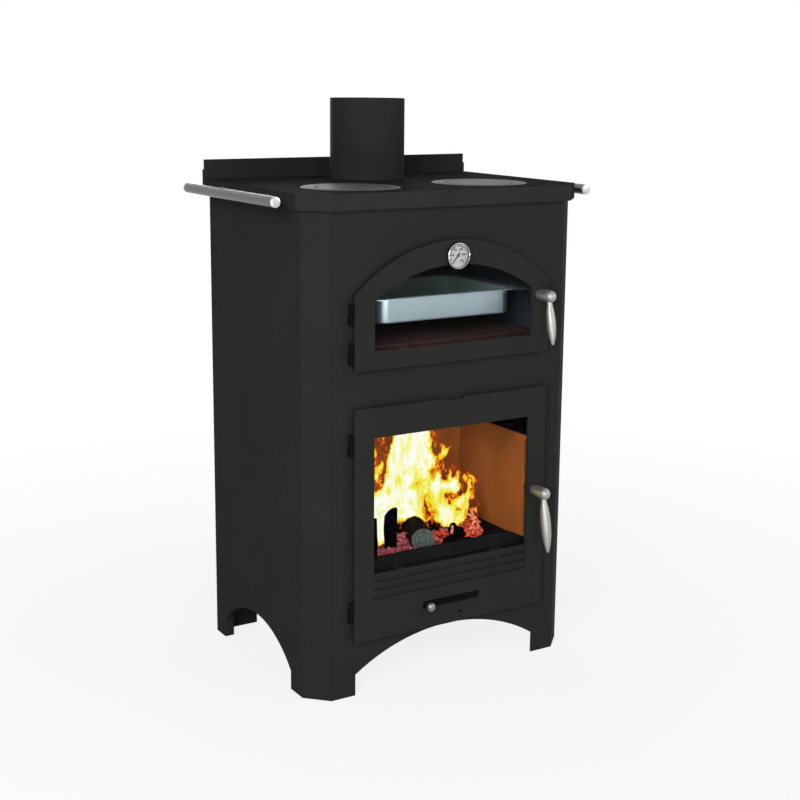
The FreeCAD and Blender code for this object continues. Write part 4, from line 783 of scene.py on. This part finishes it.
def thermometer():
    """A chrome bezel, a domed lens and a printed scale with plain numbers."""
    low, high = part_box("thermometer_case")
    back = Vector((0, high.y, DIAL_CENTRE.z))
    deep = (high.y - low.y) / MM
    bezel = [*BEZEL_FOOT, *((deep + along, radius) for along, radius in BEZEL_FRONT)]
    turned("thermometer_bezel", bezel, back, OUT, "oven_door", "chrome", ["thermometer_case"], closed=True)
    lens = [(deep - LENS_SEAT + along, radius) for along, radius in LENS_LINE]
    dome = turned("thermometer_dome", lens, back, OUT, "oven_door", "lens_glass", ["thermometer_lens"])
    dome.visible_shadow = False
    dial_scale()


def dial_way(share):
    """The direction from the dial's centre to a share of its scale."""
    angle = SCALE_FIRST + (SCALE_LAST - SCALE_FIRST) * share
    return Vector((math.cos(angle), 0, math.sin(angle)))


def dial_scale():
    """Ticks and plain numbers standing a hair proud of the dial."""
    bm = bmesh.new()
    for i in range(TICKS):
        inner, half = SHORT_TICK if i % LONG_EVERY else LONG_TICK
        add_tick(bm, dial_way(i / (TICKS - 1)), inner, half)
    for i, number in enumerate(NUMBERS):
        add_number(bm, number, DIAL_CENTRE + dial_way(i / (len(NUMBERS) - 1)) * NUMBER_RADIUS * MM)
    piece(bm, "thermometer_scale", "oven_door", "needle_black")


def add_tick(bm, out, inner, half):
    """Adds one flat bar to the dial's marks."""
    side = Vector((-out.z, 0, out.x))
    corners = []
    for y in (DIAL_FACE + MARK_SUNK, DIAL_FACE - MARK_PROUD):
        for radius, way in ((inner, -1), (TICK_END, -1), (TICK_END, 1), (inner, 1)):
            place = DIAL_CENTRE + (out * radius + side * half * way) * MM
            corners.append(bm.verts.new((place.x, y * MM, place.z)))
    bm.faces.new(corners[4:])
    for k in range(4):
        bm.faces.new((corners[k], corners[(k + 1) % 4], corners[4 + (k + 1) % 4], corners[4 + k]))


def add_number(bm, words, centre):
    """Adds a flat printed number to the dial's marks."""
    text = bpy.data.curves.new("number", "FONT")
    text.body = words
    text.size = NUMBER_SIZE * MM
    text.offset = NUMBER_WEIGHT * MM
    text.align_x = "CENTER"
    text.align_y = "CENTER"
    text.extrude = MARK_PROUD / 2 * MM
    holder = bpy.data.objects.new("number", text)
    bpy.context.scene.collection.objects.link(holder)
    bpy.context.view_layer.update()
    mesh = bpy.data.meshes.new_from_object(holder)
    stand = Matrix.Translation((centre.x, (DIAL_FACE - MARK_PROUD / 2) * MM, centre.z))
    mesh.transform(stand @ Matrix.Rotation(math.radians(90), 4, "X"))
    bm.from_mesh(mesh)
    bpy.data.objects.remove(holder)
    bpy.data.meshes.remove(mesh)


# Air control

NECK_RADIUS = 3.2
# Where the neck ends before the ball's middle, for a ball of radius one
NECK_END = 0.95
# Steps of the ball's half circle, and the first one clear of the neck
BALL_STEPS = 24
BALL_FIRST = 4


def air_knob():
    """A polished ball on a waisted neck."""
    low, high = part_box("air_knob")
    origin = centre_at(low, high, high.y)
    length = (high.y - low.y) / MM
    radius = (high.x - low.x) / 2 / MM
    middle = length - radius
    profile = [(0, 0), (0, NECK_RADIUS), (middle - radius * NECK_END, NECK_RADIUS)]
    for i in range(BALL_FIRST, BALL_STEPS + 1):
        angle = math.pi * i / BALL_STEPS
        profile.append((middle - radius * math.cos(angle), radius * math.sin(angle)))
    bm = turn(bmesh.new(), profile, origin, OUT)
    # The ball takes the darker copy of the chrome: painted shade.
    piece(bm, "air_knob_ball", "air_control", "chrome", ["air_knob"], looks=[KNOB_STEEL_PAINTED_SHADE])


# The fire: logs, embers and flames, which lie in the firebox and ride on the stove

# A log: shares of its radius, and pitches of the noise, along it or around and along it
BEND = 0.16
BEND_PITCH = 1.6
UNEVEN_PITCH = (2.2, 2.5)
FURROW = 0.05
FURROW_PITCH = (6.5, 1.2)
END_ROUGH = 0.03
END_PITCH = 90
END_RINGS = (0.94, 0.6, 0.3)
END_BULGE = 0.05
# How late along the log a slanted end sets in
SLANT_POWER = 8
# Without this seed the bends would change with the clock
BEND_SEED = 1795866084


def log(name, start, end, radius, looks, seed, lump=0.08, slant=0.0, rings=30, sides=44):
    """A round log with furrowed sides and sawn ends, built along its own Z from its start, all in mm."""
    run = mm(*end) - mm(*start)
    radius *= MM
    bm = bmesh.new()
    loops = []
    for i in range(rings + 1):
        t = i / rings
        bend = noise.noise_vector(Vector((seed, t * BEND_PITCH, 0))) * radius * BEND
        loop = []
        for j in range(sides):
            angle = 2 * math.pi * j / sides
            spoke = Vector((math.cos(angle), math.sin(angle), 0))
            uneven = noise.noise(spoke * UNEVEN_PITCH[0] + UP * t * UNEVEN_PITCH[1] + Vector((seed, 0, 0)))
            furrow = noise.noise(spoke * FURROW_PITCH[0] + UP * t * FURROW_PITCH[1] + Vector((0, seed, 0)))
            size = radius * (1 + lump * uneven + FURROW * furrow)
            rise = run.length * t + slant * MM * math.cos(angle) * t**SLANT_POWER
            loop.append(bm.verts.new((bend.x + spoke.x * size, bend.y + spoke.y * size, rise)))
        loops.append(loop)
    for one, two in zip(loops, loops[1:]):
        join_loops(bm, one, two, 0)
    log_end(bm, loops[0], -radius)
    log_end(bm, loops[-1], radius)
    return piece(bm, name, "stove", None, looks=looks, at=mm(*start), along=run, crease=50)


def log_end(bm, loop, reach):
    """A slightly bulging, rough sawn end; the reach is the radius, below nought at the log's start."""
    middle = sum((v.co for v in loop), Vector()) / len(loop)
    inner = loop
    for share in END_RINGS:
        ring = []
        for v in loop:
            place = middle + (v.co - middle) * share
            place.z += (1 - share) * reach * END_BULGE
            place.z += noise.noise(v.co * END_PITCH * share) * abs(reach) * END_ROUGH
            ring.append(bm.verts.new(place))
        join_loops(bm, inner, ring, 1)
        inner = ring
    bm.faces.new(inner).material_index = 1


# A lump of charcoal: shares of its size, the most that it is turned, and pitches of its noise
LUMP_LIFT = 0.55
LUMP_TURN = 6.28
LUMP_STRETCH = ((0.8, 1.5), (0.7, 1.1), (0.55, 0.9))
LUMP_COARSE = 0.32
LUMP_COARSE_PITCH = 1.3
LUMP_FINE = 0.1
LUMP_FINE_PITCH = 4
LUMP_SHIFT = 50


def lumps(name, heaps, look, seed, low, high):
    """Heaps of broken charcoal, with pieces from low to high in mm."""
    chance = random.Random(seed)
    bm = bmesh.new()
    for place, reach, count in heaps:
        for _ in range(count):
            angle = chance.uniform(0, 2 * math.pi)
            out = math.sqrt(chance.random())
            size = chance.uniform(low, high)
            rise = (1 - out) * reach[2] * chance.uniform(0.5, 1.0) + size * LUMP_LIFT
            across = Vector((math.cos(angle) * reach[0], math.sin(angle) * reach[1], 0)) * out
            add_lump(bm, chance, (Vector(place) + across + UP * rise) * MM, size * MM)
    return piece(bm, name, "stove", None, looks=[look], crease=60)


def add_lump(bm, chance, spot, size):
    """Adds one uneven lump, turned and stretched by chance."""
    turning = chance.uniform(0, LUMP_TURN)
    turned_by = Matrix.Rotation(turning, 4, Vector((chance.random(), chance.random(), 1)))
    stretch = Matrix.Diagonal((*(chance.uniform(*span) for span in LUMP_STRETCH), 1))
    made = bmesh.ops.create_icosphere(bm, subdivisions=3, radius=size)
    shift = Vector((chance.uniform(0, LUMP_SHIFT), 0, 0))
    for v in made["verts"]:
        way = v.co / size
        coarse = LUMP_COARSE * noise.noise(way * LUMP_COARSE_PITCH + shift)
        fine = LUMP_FINE * noise.noise(way * LUMP_FINE_PITCH + shift)
        v.co *= 1 + coarse + fine
        v.co = spot + turned_by @ stretch @ v.co


# Outlines of the flames on their sheets, as x and z in mm, once around
FLAME_BODY = (
    (-50, 500), (-64, 469), (-74, 450), (-84, 419), (-91, 391), (-94, 371), (-117, 365), (-128, 385),
    (-150, 330), (-150, 250), (-106, 248), (-90, 242), (-64, 282), (-44, 288), (-23, 290), (-2, 284),
    (26, 262), (33, 276), (52, 268), (68, 258), (87, 256), (95, 264), (108, 264), (110, 290),
    (114, 310), (124, 326), (113, 328), (116, 352), (104, 338), (91, 347), (82, 386), (76, 362),
    (69, 388), (62, 360), (55, 358), (51, 379), (44, 404), (42, 376), (35, 360), (31, 374), (28, 384),
    (42, 394), (54, 404), (72, 424), (58, 418), (48, 438), (48, 413), (38, 406), (29, 420), (26, 448),
    (27, 476), (20, 540), (6, 500), (-14, 566), (-28, 510),
)
FLAME_LICK = ((-122, 392), (-112, 414), (-92, 424), (-84, 436), (-96, 412), (-104, 396), (-108, 384))
RED_HAZE = (
    (30, 340), (48, 372), (62, 404), (78, 384), (96, 408), (112, 372), (132, 384), (146, 360), (158, 350),
    (160, 300), (158, 246), (40, 246),
)
SIDE_GLOW = ((-118, 300), (-118, 530), (-24, 530), (-38, 450), (-50, 390), (-56, 300))
TOP_GLOW = ((50, 390), (46, 530), (94, 530), (86, 480), (74, 450), (78, 410))
FAR_FLAME = (
    (-70, 246), (-58, 330), (-40, 392), (-22, 440), (-8, 404), (10, 460), (26, 398), (48, 420), (62, 360),
    (88, 376), (100, 320), (122, 330), (128, 246),
)
# Cooler places in the body: x, z, half width, half height and how much cooler
COOLER = (
    (-3, 364, 15, 26, 0.46), (13, 315, 20, 30, 0.5), (26, 286, 18, 16, 0.4), (-48, 376, 14, 22, 0.25),
    (-77, 357, 8, 14, 0.4), (72, 300, 52, 44, 0.26), (76, 326, 19, 9, 1.0), (95, 333, 8, 6, 1.1),
    (68, 309, 6, 5, 0.7), (86, 297, 6, 4, 0.7),
)
# Sheets of flame: depth y, outlines, heat at the rim, mm inward for each unit of heat, most heat and
# cooler places
SHEETS = (
    (-90, (FLAME_BODY, FLAME_LICK), 0.3, 13, 0.96, COOLER),
    (-58, (RED_HAZE,), -0.1, 80, 0.12, ()),
    (-44, (SIDE_GLOW, TOP_GLOW), -0.08, 60, 0.1, ()),
    (-25, (FAR_FLAME,), -0.05, 40, 0.3, ()),
)
# The grid that a sheet is cut from, in mm, the least heat on it and the heat below which it is cut
FLAME_CELL = 3.5
FLAME_LEFT = -165
FLAME_FOOT = 245
FLAME_WIDTH = 330
FLAME_HEIGHT = 320
FLAME_COLDEST = -0.6
FLAME_RIM = -0.5
# How a sheet wavers in depth, how its sides bow forward, and how far back it stands
WAVE = 13
WAVE_PITCH = (55, 90)
BOW = 0.0011
BOW_CENTRE = 10
SETBACK = 18
# The ragged rim, sideways and upward: reach and pitch of its waves in mm
RAGGED_SIDE = ((5, 26), (2.5, 9))
RAGGED_UP = ((6, 31), (3, 11))
RAGGED_SHIFT = UP * 40


def inside_by(x, z, outline):
    """How many mm inside the outline a place lies; below nought outside it."""
    near = 1e9
    inside = False
    for (ax, az), (bx, bz) in zip(outline, outline[1:] + outline[:1]):
        run_x, run_z = bx - ax, bz - az
        share = ((x - ax) * run_x + (z - az) * run_z) / (run_x**2 + run_z**2)
        share = min(max(share, 0), 1)
        near = min(near, math.hypot(x - ax - share * run_x, z - az - share * run_z))
        if (az > z) != (bz > z) and x < ax + (z - az) / run_z * run_x:
            inside = not inside
    return near if inside else -near


def ragged(place, waves, shift):
    """How far the rim strays at a place."""
    return sum(reach * noise.noise(place / pitch + shift) for reach, pitch in waves)


def flame_heat(x, z, sheet):
    """How hot a sheet of flame is at a place, with a ragged rim."""
    depth, outlines, rim, deep, most, cooler = sheet
    place = Vector((x, z, depth))
    x += ragged(place, RAGGED_SIDE, Vector())
    z += ragged(place, RAGGED_UP, RAGGED_SHIFT)
    hot = min(rim + max(inside_by(x, z, outline) for outline in outlines) / deep, most)
    for centre_x, centre_z, half_x, half_z, drop in cooler:
        hot -= drop * math.exp(-((x - centre_x) / half_x)**2 - ((z - centre_z) / half_z)**2)
    return max(hot, FLAME_COLDEST)


def flame_grid(sheet, columns, rows):
    """The places on a wavering sheet, and how hot each is."""
    depth = sheet[0]
    grid = {}
    for i in range(columns + 1):
        for j in range(rows + 1):
            x = FLAME_LEFT + i * FLAME_CELL
            z = FLAME_FOOT + j * FLAME_CELL
            wave = WAVE * noise.noise(Vector((x / WAVE_PITCH[0], z / WAVE_PITCH[1], depth)))
            bow = BOW * (x - BOW_CENTRE)**2
            grid[i, j] = (mm(x, depth + wave - bow + SETBACK, z), flame_heat(x, z, sheet))
    return grid


def flames(look):
    """Wavering sheets of flame, one behind the other, each cut to its outlines."""
    bm = bmesh.new()
    heat = bm.verts.layers.float.new("warmth")
    columns = round(FLAME_WIDTH / FLAME_CELL)
    rows = round(FLAME_HEIGHT / FLAME_CELL)
    for sheet in SHEETS:
        grid = flame_grid(sheet, columns, rows)
        made = {}
        for i in range(columns):
            for j in range(rows):
                corners = ((i, j), (i + 1, j), (i + 1, j + 1), (i, j + 1))
                if max(grid[c][1] for c in corners) < FLAME_RIM:
                    continue
                for c in corners:
                    if c not in made:
                        made[c] = bm.verts.new(grid[c][0])
                        made[c][heat] = grid[c][1]
                bm.faces.new([made[c] for c in corners])
    return piece(bm, "flames", "stove", None, looks=[look], crease=80)


# Heaps of charcoal: middle and reach in mm, and how many lumps
EMBER_HEAP = (((104, -96, 245), (26, 24, 30), 90), ((38, -100, 245), (20, 16, 22), 40))
DEAD_COALS = (((64, -106, 250), (16, 12, 14), 16), ((34, -128, 245), (20, 10, 4), 8))
EMBER_BED = (
    ((-100, -124, 243), (62, 32, 8), 90),
    ((-20, -80, 243), (100, 40, 6), 50),
    ((-64, -104, 243), (30, 20, 34), 44),
)
# Burning twigs: both ends of each, in mm
TWIGS = (
    ((84, -122, 252), (112, -112, 284)),
    ((122, -118, 250), (102, -104, 300)),
    ((96, -124, 268), (124, -108, 256)),
    ((118, -116, 272), (94, -110, 292)),
    ((44, -122, 250), (58, -108, 272)),
)
TWIG_RADIUS = 2.2


def fire():
    noise.seed_set(BEND_SEED)
    wood = [bark(), cut_wood()]
    burnt = [charcoal(), charcoal()]
    log("front_log", (-34, -141, 270), (-14, -69, 271), 23.5, wood, 3.1)
    log("upright_log", (-95, -121, 245), (-92, -117, 325), 12.5, burnt, 8.7, lump=0.1, slant=9)
    log("left_log", (-146, -138, 245), (-142, -128, 318), 11, burnt, 5.2, lump=0.12, slant=6)
    log("rear_log", (-120, 10, 268), (120, 22, 270), 24, [bark(), charcoal()], 6.4)
    red = embers("red_embers", 170, rgb(30, 4, 3), rgb(150, 26, 14), rgb(226, 74, 38), rgb(255, 168, 118))
    rose = embers("rose_embers", 150, rgb(40, 10, 18), rgb(104, 30, 46), rgb(172, 70, 86), rgb(222, 150, 156))
    lumps("ember_heap", EMBER_HEAP, red, 4, 3, 8)
    lumps("dead_coals", DEAD_COALS, burnt[0], 7, 6, 11)
    lumps("ember_bed", EMBER_BED, rose, 9, 4, 9)
    hot = embers("hot_twig", 120, rgb(150, 26, 14), rgb(236, 96, 56), rgb(255, 176, 140), rgb(255, 226, 206))
    for i, (start, end) in enumerate(TWIGS, 1):
        log(f"hot_twig_{i}", start, end, TWIG_RADIUS, [hot, hot], 1.0 + i, lump=0.3, rings=16, sides=12)
    flames(flame())


# Studio, in metres

CAMERA_PLACE = (-1.43715, -2.3328, 1.14257)
CAMERA_YAW = 0.55144
CAMERA_PITCH = -0.1968
CAMERA_ROLL = 0.00868
CAMERA_LENS = 63.06
CAMERA_SENSOR = 36
CAMERA_SHIFT = -0.05
# Lamps: name, place, target, size, power in watts and colour
WHITE = (1.0, 1.0, 1.0)
WARM = (1.0, 0.9, 0.84)
LAMPS = (
    ("key", (2.1, -2.5, 1.8), (0, -0.1, 0.6), (1.4, 1.4), 28, WHITE),
    ("left", (-2.3, -2.0, 1.7), (-0.2, -0.05, 0.6), (1.2, 1.4), 68, WHITE),
    ("front", (-0.5, -3.0, 1.1), (0, -0.15, 0.7), (0.3, 0.6), 7, WHITE),
    ("low", (-0.9, -3.0, 0.25), (0, -0.15, 0.7), (1.6, 0.4), 19, WHITE),
    ("fire", (0, -0.02, 0.34), (0.02, 0.06, 0.36), (0.24, 0.12), 0.24, WARM),
    ("back", (0.8, 3.2, 1.0), (0, 0, 0.6), (2.0, 1.6), 55, WHITE),
)
SOFT_SURROUND = 0.22
SEEN = ("Is Camera Ray", "Is Glossy Ray", "Is Transmission Ray")
HALF_BOUNCE = 0.5
# The floor, which the eye sees white from far, and a little less near the stove
FLOOR_HALF = 12
FLOOR_DROP = 0.0005
FLOOR_GREY = (0.75, 0.75, 0.75, 1.0)
FLOOR_NEAR = 0.45
FLOOR_FAR = 2.0
WHITE_NEAR = 0.84


def camera():
    data = bpy.data.cameras.new("camera")
    data.sensor_width = CAMERA_SENSOR
    data.lens = CAMERA_LENS
    data.shift_y = CAMERA_SHIFT
    forward = Vector((math.sin(CAMERA_YAW) * math.cos(CAMERA_PITCH),
                      math.cos(CAMERA_YAW) * math.cos(CAMERA_PITCH), math.sin(CAMERA_PITCH)))
    level = Vector((math.cos(CAMERA_YAW), -math.sin(CAMERA_YAW), 0))
    upright = level.cross(forward)
    right = level * math.cos(CAMERA_ROLL) + upright * math.sin(CAMERA_ROLL)
    top = upright * math.cos(CAMERA_ROLL) - level * math.sin(CAMERA_ROLL)
    matrix = Matrix((right, top, -forward)).transposed().to_4x4()
    matrix.translation = CAMERA_PLACE
    holder = bpy.data.objects.new("camera", data)
    bpy.context.scene.collection.objects.link(holder)
    holder.matrix_world = matrix
    bpy.context.scene.camera = holder


def lamp(name, place, target, size, power, colour):
    data = bpy.data.lights.new(name, "AREA")
    data.shape = "RECTANGLE"
    data.size, data.size_y = size
    data.energy = power
    data.color = colour
    holder = bpy.data.objects.new(name, data)
    holder.location = place
    holder.rotation_euler = (Vector(target) - Vector(place)).to_track_quat("-Z", "Y").to_euler()
    holder.visible_camera = False
    bpy.context.scene.collection.objects.link(holder)


def seen(tree):
    """One for a ray that reaches the eye straight, by way of metal or through glass; nought for the rest."""
    path = tree.nodes.new("ShaderNodeLightPath")
    level = path.outputs[SEEN[0]]
    for name in SEEN[1:]:
        level = combine(tree, level, path.outputs[name], "MAXIMUM")
    clear = combine(tree, path.outputs["Diffuse Depth"], HALF_BOUNCE, "LESS_THAN")
    return combine(tree, level, clear, "MULTIPLY")


def white_world():
    """A white surround for the eye, metal and glass, and a softer even light for the rest."""
    world = bpy.data.worlds.new("studio")
    bpy.context.scene.world = world
    world.use_nodes = True
    tree = world.node_tree
    surround = tree.nodes["Background"]
    put(tree, surround.inputs["Color"], (*WHITE, 1.0))
    put(tree, surround.inputs["Strength"], combine(tree, seen(tree), SOFT_SURROUND, "MAXIMUM"))


def floor_look():
    """Pale grey that shows white to the eye, least near the stove."""
    look = Look("floor", Base_Color=FLOOR_GREY, Roughness=0.9, Specular_IOR_Level=0.0)
    away = look.add("ShaderNodeVectorMath", operation="LENGTH")
    look.put(away.inputs[0], look.point)
    white = look.span(away.outputs["Value"], FLOOR_NEAR, FLOOR_FAR, WHITE_NEAR, 1.0)
    glow = look.add("ShaderNodeEmission")
    glow.inputs["Strength"].default_value = 1.0
    mix = look.add("ShaderNodeMixShader")
    look.put(mix.inputs[0], look.combine(seen(look.tree), white, "MULTIPLY"))
    look.put(mix.inputs[1], look.shader.outputs[0])
    look.put(mix.inputs[2], glow.outputs[0])
    look.put(look.tree.nodes["Material Output"].inputs["Surface"], mix.outputs[0])
    return look.material


def floor():
    """A wide floor just below the feet, which keeps a soft shadow."""
    bm = bmesh.new()
    bmesh.ops.create_grid(bm, x_segments=1, y_segments=1, size=FLOOR_HALF)
    mesh = bpy.data.meshes.new("floor")
    bm.to_mesh(mesh)
    bm.free()
    plane = bpy.data.objects.new("floor", mesh)
    plane.location = (0, 0, -FLOOR_DROP)
    bpy.context.scene.collection.objects.link(plane)
    mesh.materials.append(floor_look())


def studio():
    camera()
    white_world()
    floor()
    for values in LAMPS:
        lamp(*values)
    bpy.context.scene.view_settings.view_transform = "Standard"


plain_pieces()
for side in ("left", "right"):
    lid(side)
    rail(side)
rail_caps()
for door in ("oven", "fire"):
    handle(door)
baking_tray()
thermometer()
air_knob()
fire()
studio()
